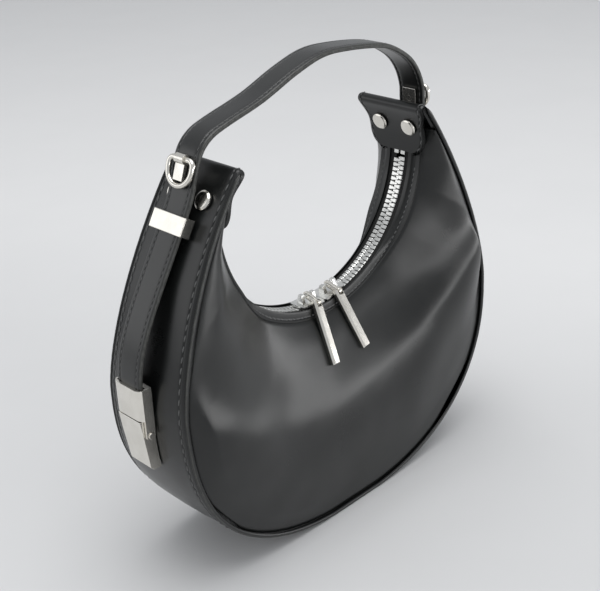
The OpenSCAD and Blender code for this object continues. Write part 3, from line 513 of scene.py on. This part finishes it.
lining_finish = Finish("lining twill")
ribs_of_twill = lining_finish.waves(320, "DIAGONAL", None, 0.4)
slubs = lining_finish.clouds(260, 4)
lining_finish.set(
    Base_Color=lining_finish.blended(
        ribs_of_twill * slubs, (0.014, 0.013, 0.012), (0.045, 0.042, 0.038)),
    Roughness=0.8 + 0.12 * slubs,
)
lining_finish.relief(ribs_of_twill + slubs * 0.5, 0.6, 0.15)
lining_cloth = lining_finish.material
print(zip_tape.name, "and", lining_cloth.name)


# %% Metal finishes
def metal(name, low, high, gloss, brush):
    """Polished metal: nearly even colour, faint cloudy gloss, and hairlines along one direction."""
    finish = Finish(name)
    hazy = finish.clouds(90, 4, 0.6)
    hairs = finish.clouds(600, 3, 0.6, finish.placed(brush))
    dents = finish.clouds(240, 2, 0.5)
    finish.set(
        Base_Color=finish.blended(hazy.smooth(0.3, 0.75), low, high),
        Metallic=1.0,
        Roughness=gloss + 0.07 * hazy + 0.05 * hairs,
    )
    finish.relief(hairs * 0.5 + dents, 0.08, 0.02)
    return finish.material


hardware_metal = metal(
    "polished hardware", low=(0.72, 0.695, 0.64), high=(0.82, 0.795, 0.74),
    gloss=0.14, brush=(1, 1, 9))
zip_metal = metal(
    "zip metal", low=(0.68, 0.68, 0.66), high=(0.82, 0.82, 0.8), gloss=0.2, brush=(4, 1, 4))
print(hardware_metal.name, "and", zip_metal.name)

# %% [markdown]
# ## Panels
# Each face of the bag is one crescent of leather that is pulled over the curve and sags a little
# between its seams. Flat plates would catch the light as one flat grey. Here the sheet swells
# between the mouth and the seam, a soft crest runs across it below the mouth, where the photo has
# its long highlight, and soft noise makes the rest slack. Both edges dip, because they are sewn
# down there.

# %% Slack in the leather
def slackness(place, coarse_mm, depth_mm):
    """How far soft leather stands off its even form at a place: broad waves and finer ones."""
    fine_mm = coarse_mm * 0.4
    fine_share = 0.3
    apart = Vector((7, 3, 5))
    first = noise.noise(Vector(place) / coarse_mm)
    second = noise.noise(Vector(place) / fine_mm + apart)
    return depth_mm * (first + fine_share * second)


panel_swell = 5
panel_round = 2.4
full_swell_share = 0.4


def panel_place(share, across):
    """On a panel's outer face, taken on the +y side: across is 0 at the mouth and 1 at the seam."""
    seam = inset(share * tip_share, rib_w + seat)
    mouth, y_mouth = mouth_edge(share)
    place = mouth.lerp(seam, across)
    y_seam = half_depth(seam.y) + seat
    slack = panel_swell * min(1, (seam - mouth).length / (widest_h * full_swell_share))
    y = mix(y_mouth, y_seam, 1 - max(0, 1 - across) ** panel_round)
    y += slack * math.sin(math.pi * across)
    return Vector((place.x, y, place.y))


panel_h = (panel_place(0, 0) - panel_place(0, 1)).length
print("panel", round(panel_h), "mm from mouth to seam in its middle")

# %% The crest across a panel
crest_h = 68
crest_x = -20
crest_curve = 0.004
crest_above = 16
crest_below = 34
crest_rise_middle = 2.3
crest_rise_ends = 6.2
crest_middle_x = -5
crest_middle_half = 35
crest_change = 45
seam_margin = 14
mouth_margin = 26
loose_margin = 14
panel_slack_mm = 52
panel_slack_depth = 1.1
mouth_dip, mouth_dip_w = 0.4, 0.8
seam_dip, seam_dip_w = 0.7, 1.3


def pulled(share, across, side):
    """The same place with the crest, and how far it lies from the mouth and from the seam."""
    point = panel_place(share, across)
    length = (panel_place(share, 0) - panel_place(share, 1)).length
    from_mouth = across * length
    from_seam = (1 - across) * length
    to_end = ease((abs(point.x - crest_middle_x) - crest_middle_half) / crest_change)
    over_crest = point.z - crest_h - crest_curve * (point.x + side * crest_x) ** 2
    crest = math.exp(-(over_crest / (crest_above if over_crest > 0 else crest_below)) ** 2)
    crest *= ease(from_seam / seam_margin) * ease(from_mouth / mouth_margin)
    point.y += mix(crest_rise_middle, crest_rise_ends, to_end) * crest
    return point, from_mouth, from_seam


def soft_panel(side):
    """The rule of one panel: side is -1 for the front and 1 for the back."""
    towards_mouth = 1.25

    def place(along, across):
        point, from_mouth, from_seam = pulled(2 * along - 1, across ** towards_mouth, side)
        loose = ease(from_mouth / loose_margin) * ease(from_seam / loose_margin)
        point.y += loose * slackness(
            (point.x, side * 40, point.z), panel_slack_mm, panel_slack_depth)
        point.y -= mouth_dip * math.exp(-(from_mouth / mouth_dip_w) ** 2)
        point.y -= seam_dip * math.exp(-(from_seam / seam_dip_w) ** 2)
        return Vector((point.x, side * point.y, point.z))
    return place


for side, name in ((-1, "front_panel"), (1, "back_panel")):
    sheet = shaped_sheet(220, 90, soft_panel(side), away_from=(0, -side * 400, 90))
    panel = finished(name + "_leather", sheet, [body_leather], "bag", [name])
    thickened(panel, leather_t, 0.45)

# %% [markdown]
# ## Gusset
# One wide strip goes round the bottom and the sides, folds over each horn and ends in a rounded
# flap inside it. Because it is one strip, it is one sheet here too: each column of the grid is a
# line across the strip, placed by how far along the strip it is. Two grooves near the edges hold
# the stitches.

# %% The line of the strip
tooth_h = 2.6
lap_half = 20
lap_corner = 8
lap_drop = 33.5
lap_gap = 0.4
lap_fullness = 0.48
fold_r = leather_t + 1.2
fold_share = 0.985
fold_turn = 178
lap_h = horn_h - lap_drop
fold_centre = inset(fold_share, fold_r)
fold_first = outline(fold_share) - fold_centre
fold_start = math.atan2(fold_first.y, fold_first.x)
lap_end = Vector((zip_r - tooth_h / 2 - leather_t - lap_gap, lap_h))


def on_fold(part):
    """A place on the fold over a horn and the direction inwards, for 0 to 1."""
    turn = fold_start + math.radians(fold_turn) * part
    out = Vector((math.cos(turn), math.sin(turn)))
    return fold_centre + fold_r * out, -out


fold_end = on_fold(1)[0]
last_turn = fold_start + math.radians(fold_turn)
fold_leaves = Vector((-math.sin(last_turn), math.cos(last_turn)))
lap_bend = fold_end + lap_fullness * (fold_end.y - lap_h) * fold_leaves


def on_lap(part):
    """A place on the flap inside a horn and the direction inwards, for 0 to 1."""
    place = fold_end.lerp(lap_bend, part).lerp(lap_bend.lerp(lap_end, part), part)
    along = (lap_bend - fold_end).lerp(lap_end - lap_bend, part).normalized()
    return place, Vector((-along.y, along.x))


def lap_half_w(part):
    """Half the flap's width, with its two corners rounded."""
    rounded = 1 - math.sqrt(1 - min(1, max(0, 3 * part - 2)) ** 2)
    return mix(horn_d / 2, lap_half, ease(2 * part)) - lap_corner * rounded


outline_part = 0.8
fold_part = 0.87
towards_lap_end = 1.6


def strip_line(along):
    """For -1 to 1 along the strip: a place (x, z), the way inwards, half the width, the swell."""
    part = abs(along)
    side = math.copysign(1, along)
    if part <= outline_part:
        share = along / outline_part * fold_share
        place = outline(share)
        return place, inward(share), half_depth(place.y), gusset_swell(place.y)
    if part <= fold_part:
        place, direction = on_fold((part - outline_part) / (fold_part - outline_part))
        half = horn_d / 2
    else:
        part = (part - fold_part) / (1 - fold_part)
        part = 1 - (1 - part) ** towards_lap_end
        place, direction = on_lap(part)
        half = lap_half_w(part)
    return Vector((side * place.x, place.y)), Vector((side * direction.x, direction.y)), half, 0


print("lap ends", round(lap_end.y, 1), "mm above the table")

# %% Gusset strip
groove_in = 3.2
edge_steps = (0, 0.5, 1.2, 2.2, 2.8, groove_in, 3.6, 4.2, 5.4, 7.5, 10.5, 14, 18)
groove_depths = (0, 0, 0, 0, 0.12, 0.38, 0.12, 0, 0, 0, 0, 0, 0)
cross_rows = 2 * len(edge_steps)
edge_roll, edge_roll_w = 0.5, 0.7
gusset_slack_mm = 46
gusset_slack_depth = 0.7
slack_from_edge = 9


def gusset_place(along, across):
    line, direction, half, swell = strip_line(2 * along - 1)
    row = round(across * cross_rows)
    from_edge = min(row, cross_rows - row)
    if from_edge == len(edge_steps):
        y, depth = 0, 0
    else:
        y = half - edge_steps[from_edge] * half / (widest_d / 2)
        depth = groove_depths[from_edge]
    if row < cross_rows / 2:
        y = -y
    share = y / half
    rolled_in = edge_roll * math.exp(-((half - abs(y)) / edge_roll_w) ** 2)
    out = swell * (1 - share ** 2) - depth - rolled_in
    point = line - direction * out
    if swell > 0.2:
        slack = slackness((line.x, y, line.y), gusset_slack_mm, gusset_slack_depth)
        point -= direction * slack * ease((half - abs(y)) / slack_from_edge)
    return Vector((point.x, y, point.y))


sheet = shaped_sheet(420, cross_rows, gusset_place, away_from=(0, 0, 110))
gusset = finished("gusset_leather", sheet, [body_leather], "bag", ["gusset"])
thickened(gusset, leather_t, 0.4)

# %% [markdown]
# ## Bound ribs
# The raw edges of panel and gusset meet in a narrow bound rib with a paler line along its crest,
# which is partly edge paint and partly a painted highlight where the crest catches the light. A
# rolled sheet makes the rib as one tube that follows the outline, and the faces of its crest get
# the edge paint, with its painted highlight, as a second material.

# %% Ribs
rib_sides = 16
rib_y = 0.85
rib_half_t = 0.95
rib_end_size = 0.35
rib_end_share = 0.012
rib_waviness = 0.05


def rib_place(side):
    def place(along, across):
        share = (2 * along - 1) * fold_share
        turn = 2 * math.pi * across
        grown = ease((1 - abs(2 * along - 1)) / rib_end_share)
        taper = rib_end_size + (1 - rib_end_size) * grown
        wave = 1 + rib_waviness * noise.noise(Vector((share * 90, side, across)))
        middle = inset(share, rib_w / 2 - rib_w / 2 * taper * wave * math.cos(turn))
        y = half_depth(outline(share).y) + rib_y + rib_half_t * taper * wave * math.sin(turn)
        return Vector((middle.x, side * y, middle.y))
    return place


def on_rib_crest_highlight(along, across):
    """The pale line is the second material of a rib, on the faces of its crest: edge paint and a
    painted highlight.
    """
    return 1 if 0.06 < across < 0.17 else 0


for side, name in ((-1, "front_rib"), (1, "back_rib")):
    # Painted highlight: the crest faces take the paler edge paint, partly in place of light caught
    # on the crest.
    sheet = shaped_sheet(320, rib_sides, rib_place(side), rolled=True, slots=on_rib_crest_highlight)
    finished(
        name + "_binding", sheet, [body_leather, edge_paint_and_crest_highlight], "bag", [name], 80)

# %% [markdown]
# ## Facings, tape and lining
# A narrow leather facing lies between the zip and each panel. The woven tape carries the teeth
# under it, and a loose cloth bag hangs inside. Each is a sheet with its own thickness. The tape
# keeps the opening that the wedges of the two sliders push into it.

# %% Facings
chain_w = 7.9
part_y = 1.475
tape_t = 0.7
facing_t = 1.2
facing_r = zip_r - tape_t / 2 - seat / 2
slider_play = 0.15
slider_side_t = 0.9
facing_clear = 0.35
facing_inner_y = chain_w / 2 + part_y + slider_play + slider_side_t + facing_clear
knee_y = mix(facing_inner_y, mouth_half, 0.4)
facing_flat = 0.2
facing_bend = 0.6
facing_groove = 0.62
groove_depth = 0.3
groove_w = 0.05
facing_reach = zip_reach + 7


def facing_place(side):
    def place(along, across):
        degrees = (2 * along - 1) * facing_reach
        outer_r, outer_y = zip_r + edge_drop(degrees), mouth_y(degrees) - seat
        bend = ease((across - facing_flat) / facing_bend)
        y = mix(facing_inner_y, outer_y, across)
        groove = groove_depth * math.exp(-((across - facing_groove) / groove_w) ** 2)
        radius = mix(facing_r, outer_r, bend) + groove
        if across < facing_flat:
            y = mix(facing_inner_y, min(knee_y, outer_y), across / facing_flat * 0.5)
        point = on_arc(radius - facing_t, degrees)
        return Vector((point.x, side * y, point.y))
    return place


for side, name in ((-1, "front_facing"), (1, "back_facing")):
    sheet = shaped_sheet(240, 20, facing_place(side), away_from=(0, 0, -900))
    facing = finished(name + "_leather", sheet, [body_leather], "bag", [name])
    thickened(facing, facing_t, 0.3)

# %% Zip tape
meet_degrees = 3
slider_l = 17.5
wedge_l = slider_l * 0.27
closing_l = slider_l * 0.4
tape_inner_y = chain_w * 0.33 + 0.2
tape_reach = zip_reach + 3.88


def arc_mm(degrees):
    return math.radians(degrees) * zip_r


def parted(degrees):
    """How far the sliders' wedges push one tape aside."""
    from_meeting = abs(arc_mm(degrees - meet_degrees))
    return part_y * (1 - ease((from_meeting - wedge_l) / closing_l))


def tape_place(side):
    def place(along, across):
        degrees = (2 * along - 1) * tape_reach
        y = mix(tape_inner_y + parted(degrees), knee_y - seat, across)
        point = on_arc(zip_r - tape_t / 2, degrees)
        return Vector((point.x, side * y, point.y))
    return place


for side, name in ((-1, "front_tape"), (1, "back_tape")):
    sheet = shaped_sheet(260, 8, tape_place(side), away_from=(0, 0, -900))
    tape = finished(name + "_weave", sheet, [zip_tape], "bag", [name])
    thickened(tape, tape_t, 0.12)

# %% Lining
lining_t = 0.6
lining_gap = 0.6
lining_reach = 0.86
lining_top = 0.12
lining_foot = 0.93
side_share = 0.44
wrinkle_depth = 1.2
strip_gap = 2.2


def lining_place(along, across):
    share = (2 * along - 1) * lining_reach
    side = -1 if across < 0.5 else 1
    part = min(across, 1 - across) / side_share
    wrinkle = 0.5 + 0.5 * noise.noise(Vector((along * 24, across * 7, 2)))
    if part <= 1:
        point = pulled(share, mix(lining_top, lining_foot, part), side)[0]
        sink = leather_t + lining_gap + wrinkle_depth * wrinkle * ease(3 * part)
        return Vector((point.x, side * (point.y - sink), point.z))
    place = inset(share * tip_share, leather_t + strip_gap + wrinkle)
    half = half_depth(outline(share * tip_share).y) - leather_t - lining_gap
    from_middle = abs(across - 0.5) / (0.5 - side_share)
    return Vector((place.x, side * half * min(1, from_middle * 1.02), place.y))


sheet = shaped_sheet(150, 50, lining_place, away_from=(0, 0, 900))
lining = finished("lining_bag", sheet, [lining_cloth], "bag", ["lining"])
thickened(lining, lining_t, 0.15)

# %% [markdown]
# ## Strap
# The strap is one run of leather on the real bag: up from the left clasp, through a keeper, over
# the mouth and down again. Its places are joined by one smooth curve. Its section is a thin slab
# with two stitched grooves in each face and painted edges, which are split where the two layers
# meet. It is cut in the middle of the keepers, a little lower than in the CAD, so that a keeper
# hides the cut.

# %% Strap line
strap_t = 3
handle_foot_drop = 23.5
handle_foot_h = horn_h - handle_foot_drop
handle_rise = 59
keeper_out = 6.2
outer_x = half_w * (
    1 - ((handle_foot_h - widest_h) / shoulder_rise) ** shoulder_square) ** (1 / shoulder_square)
foot_x = outer_x + keeper_out
clasp_joint_h = 106
ferrule_rise = 17.5
ferrule_wall = 1.6
ferrule_bottom_h = clasp_joint_h + 0.25
slot_ease = 0.2
clasp_out = 11
clasp_top_h = clasp_joint_h + ferrule_rise
tail_foot_x = half_w + clasp_out - ferrule_wall - slot_ease - strap_t / 2
tail_shares = ((0.26, 0.21), (0.51, 0.405), (0.745, 0.6), (0.92, 0.79))
tail_places = [
    Vector((mix(foot_x, tail_foot_x, x), mix(handle_foot_h, clasp_top_h, z)))
    for x, z in tail_shares]
tail_places += [Vector((tail_foot_x, clasp_top_h + dz)) for dz in (strap_t, -strap_t)]
tail_places.append(Vector((tail_foot_x, ferrule_bottom_h + ferrule_wall + 2 * seat)))
handle_shares = (
    (-1, 0), (-0.945, 0.17), (-0.9, 0.38), (-0.855, 0.51), (-0.78, 0.6), (-0.665, 0.66),
    (-0.41, 0.765), (-0.15, 0.915), (0.065, 1), (0.28, 0.995), (0.535, 0.945), (0.67, 0.88),
    (0.815, 0.745), (0.9, 0.59), (0.944, 0.42), (0.95, 0.27), (0.966, 0.13), (1, 0))
handle_places = [
    Vector((x * foot_x, handle_foot_h + z * handle_rise)) for x, z in handle_shares]
left_places = [Vector((-place.x, place.y)) for place in reversed(tail_places)]
strap_places = left_places + handle_places + tail_places


def smooth_line(places, count):
    """Points on one curve through all places, count to each stretch."""
    line = []
    for index in range(len(places) - 1):
        b, c = places[index], places[index + 1]
        a = places[index - 1] if index else 2 * b - c
        d = places[index + 2] if index + 2 < len(places) else 2 * c - b
        for step in range(count):
            t = step / count
            line.append((2 * b + (c - a) * t + (2 * a - 5 * b + 4 * c - d) * t ** 2
                         + (3 * b - a - 3 * c + d) * t ** 3) / 2)
    return line + [places[-1]]


strap_line = smooth_line(strap_places, 14)
strap_lengths = [0]
for first, second in zip(strap_line, strap_line[1:]):
    strap_lengths.append(strap_lengths[-1] + (second - first).length)
print("strap", round(strap_lengths[-1]), "mm long")


# %% Places along the strap
def on_strap(length):
    """A place (x, z) on the strap's middle line and the direction out of its outer face."""
    length = min(strap_lengths[-1], max(0, length))
    index = 0
    while index < len(strap_lengths) - 2 and strap_lengths[index + 1] < length:
        index += 1
    part = (length - strap_lengths[index]) / (strap_lengths[index + 1] - strap_lengths[index])
    place = strap_line[index].lerp(strap_line[index + 1], part)

    def direction(at):
        after, before = min(at + 1, len(strap_line) - 1), max(at - 1, 0)
        return (strap_line[after] - strap_line[before]).normalized()

    along = direction(index).lerp(direction(index + 1), part).normalized()
    return place, Vector((-along.y, along.x))


def length_at_height(height, side):
    """How far along the strap it reaches a height, on the left side or on the right."""
    steps = range(len(strap_line)) if side < 0 else range(len(strap_line) - 1, -1, -1)
    for index in steps:
        if strap_line[index].y >= height:
            return strap_lengths[index]


# %% The strap's section
groove_y = 6.4
wear_depth = 0.06
painted_from = 9
quarter = [
    (0, 1.5), (2.5, 1.5), (4.8, 1.47), (5.7, 1.42), (6.1, 1.3), (groove_y, 1.12), (6.7, 1.3),
    (7.1, 1.4), (7.8, 1.36), (8.35, 1.2), (8.75, 0.85), (8.95, 0.45), (8.98, 0.16), (8.8, 0)]
section = quarter + [(y, -z) for y, z in reversed(quarter[:-1])]
section += [(-y, -z) for y, z in quarter[1:]]
section += [(-y, z) for y, z in reversed(quarter[1:-1])]
print(len(section), "corners in the strap's section")


def strap_place(from_length, to_length):
    def place(along, across):
        length = mix(from_length, to_length, along)
        point, out = on_strap(length)
        y, height = section[round(across * len(section)) % len(section)]
        worn = wear_depth * noise.noise(Vector((length / 9, y / 4, 1)))
        place_2d = point + out * (height - abs(worn) * (1 if height > 0 else -1))
        return Vector((place_2d.x, y, place_2d.y))
    return place


def is_painted(along, across):
    """The edge paint is the strap's second material, on the corners of its two narrow sides."""
    corner = (across * len(section)) % (len(section) / 2)
    return 1 if painted_from < corner < len(section) / 2 - painted_from else 0


# %% [markdown]
# ## Stitches
# Stitches are short slanted threads at an even pitch. There are hundreds of them, so each is one
# small sphere of a few dozen faces, stretched along the seam and laid on its surface. The sphere
# is made once and copied into place, because an operator on a growing bmesh gets slower with
# every stitch.

# %% Stitches along a line
seam_samples = 600
stitch_around, stitch_rings = 8, 5
thread_reach = 0.985
thread_sunk = 0.12
facing_thread_from = 0.06
facing_thread_share = 0.88
facing_thread_sunk = 0.02
facing_lean = 0.6


def add_stitches(work, place_at, pitch, length, wide, slant, material=0):
    """place_at(0..1) gives a place on the seam and the direction out of the leather."""
    grown = bmesh.new()
    bmesh.ops.create_uvsphere(
        grown, u_segments=stitch_around, v_segments=stitch_rings, radius=0.5)
    for face in grown.faces:
        face.material_index = material
    stitch_mesh = bpy.data.meshes.new("stitch")
    grown.to_mesh(stitch_mesh)
    grown.free()
    samples = [place_at(step / seam_samples)[0] for step in range(seam_samples + 1)]
    runs = [0]
    for first, second in zip(samples, samples[1:]):
        runs.append(runs[-1] + (second - first).length)
    count = int(runs[-1] / pitch)
    index = 0
    for stitch in range(count):
        wanted = (stitch + 0.5) * runs[-1] / count
        while runs[index + 1] < wanted:
            index += 1
        at = (index + (wanted - runs[index]) / (runs[index + 1] - runs[index])) / seam_samples
        place, out = place_at(at)
        after, before = min(seam_samples, index + 2), max(0, index - 1)
        along = (samples[after] - samples[before]).normalized()
        out = (out - along * out.dot(along)).normalized()
        across = out.cross(along)
        turned = Matrix((along, across, out)).transposed().to_4x4()
        turned = turned @ Matrix.Rotation(math.radians(slant), 4, "Z")
        shape = Matrix.Diagonal((length * MM, wide * MM, wide * MM, 1))
        laid = Matrix.Translation(place * MM) @ turned @ shape
        stitch_mesh.transform(laid)
        work.from_mesh(stitch_mesh)
        stitch_mesh.transform(laid.inverted())
    bpy.data.meshes.remove(stitch_mesh)
    return count


def on_gusset(side):
    def place_at(part):
        line, direction, half, swell = strip_line((2 * part - 1) * thread_reach)
        y = half * (1 - groove_in / (widest_d / 2))
        point = line - direction * (swell * (1 - (y / half) ** 2) - thread_sunk)
        return Vector((point.x, side * y, point.y)), Vector((-direction.x, 0, -direction.y))
    return place_at


def on_facing(side):
    def place_at(part):
        along = facing_thread_from + facing_thread_share * part
        point = facing_place(side)(along, facing_groove)
        turn = math.radians((2 * along - 1) * facing_reach)
        up = Vector((-math.sin(turn), 0, math.cos(turn)))
        leaning = (up + Vector((0, side * facing_lean, 0))).normalized()
        return point - up * facing_thread_sunk, leaning
    return place_at


for name, rule, pitch, length in (
    ("gusset_thread", on_gusset, 5.3, 3.7), ("facing_thread", on_facing, 3.2, 2.3),
):
    work = bmesh.new()
    count = sum(
        add_stitches(work, rule(side), pitch, length, wide=0.9, slant=8 * side)
        for side in (-1, 1))
    finished(name, work, [thread], "bag", sharp_degrees=120)
    print(count, "stitches")

# %% The three runs of the strap
keeper_middle_h = 196.8
strap_step = 1.5
thread_rise = 1.22
seam_end = 1.5
thread_slot = 2
cut_at = {side: length_at_height(keeper_middle_h, side) for side in (-1, 1)}


def strap_run(name, node, from_length, to_length):
    steps = round(abs(to_length - from_length) / strap_step)
    work = shaped_sheet(
        steps, len(section), strap_place(from_length, to_length), rolled=True, slots=is_painted)
    for side in (-1, 1):
        for face_side in (-1, 1):
            def seam(part, side=side, face_side=face_side):
                point, out = on_strap(mix(from_length + seam_end, to_length - seam_end, part))
                point = point + out * face_side * thread_rise
                outwards = Vector((out.x, 0, out.y)) * face_side
                return Vector((point.x, side * groove_y, point.y)), outwards
            add_stitches(
                work, seam, pitch=3.4, length=2.3, wide=0.62, slant=7 * side * face_side,
                material=thread_slot)
    return finished(
        name, work, [strap_leather, edge_paint_and_crest_highlight, thread], None, [node], 60)


handle = strap_run("handle_leather", "handle_strap", cut_at[-1], cut_at[1])
left_tail = strap_run("left_tail_leather", "left_strap_tail", 0, cut_at[-1])
right_tail = strap_run("right_tail_leather", "right_strap_tail", cut_at[1], strap_lengths[-1])
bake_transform(handle)
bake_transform(left_tail)
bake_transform(right_tail)

# %% [markdown]
# ## Metal
# The metal stays the shape that the CAD gives it. What a CAD solid lacks is its worn edge: real
# fittings have no corner sharper than a few tenths of a millimetre, and that is where they catch
# the light. Each is copied, its triangles are merged into whole faces, and a Bevel modifier
# rounds its corners. Only the clasps change a little more, after the photo: the base's front
# reaches up to the joint line, and the two upright front edges of the ferrule have a flat.

# %% Rounded copies of the fittings
clasp_face_x = (half_w + clasp_out) * MM
clasp_edge = 1.2 * MM
joint_line = 0.15 * MM
open_joint = 1.5 * MM
same = 0.02 * MM
triangle_weld = 0.002 * MM
even_degrees = 0.6
fitting_degrees = 28


def crisp_clasp(work):
    """Draws the front's top edge close to the top, and cuts a flat along its upright edges.

    Only the ferrule has such upright edges: the front of the base leans, so none is found there.
    """
    def in_front(corner):
        return abs(abs(corner.co.x) - clasp_face_x) < same

    front_top = max(corner.co.z for corner in work.verts if in_front(corner))
    top = max(corner.co.z for corner in work.verts)
    if top - front_top < open_joint:
        for corner in work.verts:
            if in_front(corner) and front_top - corner.co.z < same:
                corner.co.z = top - joint_line
    outer_y = max(corner.co.y for corner in work.verts if in_front(corner))
    upright = [
        edge for edge in work.edges
        if all(in_front(corner) and outer_y - abs(corner.co.y) < same for corner in edge.verts)
        and abs(edge.verts[0].co.z - edge.verts[1].co.z) > same]
    bmesh.ops.bevel(
        work, geom=upright, offset=clasp_edge, offset_type="OFFSET", affect="EDGES",
        segments=1, profile=0.5, material=-1)


def polished_copy(name, rounding_mm, material, segments=3):
    """A copy of a CAD piece with whole faces and rounded corners, on the same body."""
    source = nodes[name]
    work = bmesh.new()
    work.from_mesh(source.data)
    bmesh.ops.remove_doubles(work, verts=work.verts, dist=triangle_weld)
    bmesh.ops.dissolve_limit(
        work, angle_limit=math.radians(even_degrees), verts=work.verts, edges=work.edges,
        delimit=set())
    if "clasp_base" in name or "ferrule" in name:
        crisp_clasp(work)
    for face in work.faces:
        face.material_index = 0
    piece = finished(
        name + "_metal", work, [material], source["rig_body"], [name], fitting_degrees)
    rounding = piece.modifiers.new("rounding", "BEVEL")
    rounding.width = rounding_mm * MM
    rounding.segments = segments
    rounding.limit_method = "ANGLE"
    rounding.angle_limit = math.radians(fitting_degrees)
    rounding.harden_normals = True


both_sides = {
    "pull_link": 0.45, "pull_bar": 0.55, "rivets": 0.5, "rivet_caps": 0.5, "keeper": 0.35,
    "ring_tongue": 0.45, "ring": 0.2, "ring_plate": 0.25, "clasp_base": 0.2, "ferrule": 0.2,
    "hinge_pin": 0.2, "clasp_screws": 0.2,
}
for part, rounding_mm in both_sides.items():
    for side in ("left_", "right_"):
        polished_copy(side + part, rounding_mm, hardware_metal)
polished_copy("keeper_washers", 0.2, hardware_metal)
for name, rounding_mm in (
    ("left_slider", 0.3), ("right_slider", 0.3), ("zip_end_stops", 0.25),
    ("front_teeth", 0.14), ("back_teeth", 0.14),
):
    polished_copy(name, rounding_mm, zip_metal, segments=2)

# %% [markdown]
# ## Floor and light
# The bag stands on one large sheet of pale paper. Behind the bag the paper is painted a little
# paler, a painted brightening in place of a lit wall, so that the background brightens softly
# without a wall that would stand in the way of a view from the back. Black leather only shows what
# it mirrors, so the shapes of the lamps matter more than their strength: a long low box draws the
# streak along the crest, two softer ones light the rest, and the pale paper throws light back from
# below.

# %% Paper floor
floor_half_m = 4
far_way = (0.888, 0.464, 0)
paper = Finish("pale paper")
mottle = paper.clouds(9, 4, 0.6)
fibres = paper.clouds(1800, 3, 0.6)
reach = paper.node(
    "ShaderNodeVectorMath", {"operation": "DOT_PRODUCT"}, {0: paper.placed(), 1: far_way})
# Painted light: the paper is paler away from the bag, in place of a brighter lit wall behind it.
far_painted_light = Amount(paper, reach.outputs["Value"]).smooth(0.06, 0.42)
paper.set(
    Base_Color=paper.blended(
        0.1 * mottle.smooth(0.3, 0.7) + 0.9 * far_painted_light, (0.645, 0.647, 0.65), (0.745, 0.745, 0.745)),
    Roughness=0.72 + 0.1 * fibres,
)
paper.relief(fibres, 0.15, 0.05)
floor_work = bmesh.new()
bmesh.ops.create_grid(floor_work, x_segments=1, y_segments=1, size=floor_half_m)
floor_mesh = bpy.data.meshes.new("paper_floor")
floor_work.to_mesh(floor_mesh)
floor_work.free()
floor_mesh.materials.append(paper.material)
paper_floor = bpy.data.objects.new("paper_floor", floor_mesh)
bpy.context.scene.collection.objects.link(paper_floor)
print("floor", 2 * floor_half_m, "m wide")

# %% Lamps
def softbox(name, place_m, aim_m, size_m, watts):
    """A rectangular lamp at a place, turned towards what it lights."""
    lamp = bpy.data.lights.new(name, "AREA")
    lamp.shape = "RECTANGLE"
    lamp.size, lamp.size_y = size_m
    lamp.energy = watts
    holder = bpy.data.objects.new(name, lamp)
    place = Vector(place_m)
    turned = (Vector(aim_m) - place).to_track_quat("-Z", "Y").to_matrix().to_4x4()
    holder.matrix_world = Matrix.Translation(place) @ turned
    bpy.context.scene.collection.objects.link(holder)
    print(name, watts, "W")


bag_middle = (0, 0, 0.13)
window_h = 0.155
softbox(
    "window", place_m=(0.8, -1.38, window_h), aim_m=(0, 0, window_h), size_m=(3.7, 0.29), watts=16)
softbox("key", place_m=(-1.7, 1.3, 0.7), aim_m=bag_middle, size_m=(2.0, 1.1), watts=6)
softbox("top", place_m=(-0.1, -0.1, 1.7), aim_m=bag_middle, size_m=(1.4, 1.4), watts=17.5)

world = bpy.data.worlds.new("studio")
bpy.context.scene.world = world
world.use_nodes = True
studio = world.node_tree
studio.nodes["Background"].inputs["Color"].default_value = (0.9, 0.92, 0.95, 1)
studio.nodes["Background"].inputs["Strength"].default_value = 0.6
bpy.context.scene.view_settings.view_transform = "Standard"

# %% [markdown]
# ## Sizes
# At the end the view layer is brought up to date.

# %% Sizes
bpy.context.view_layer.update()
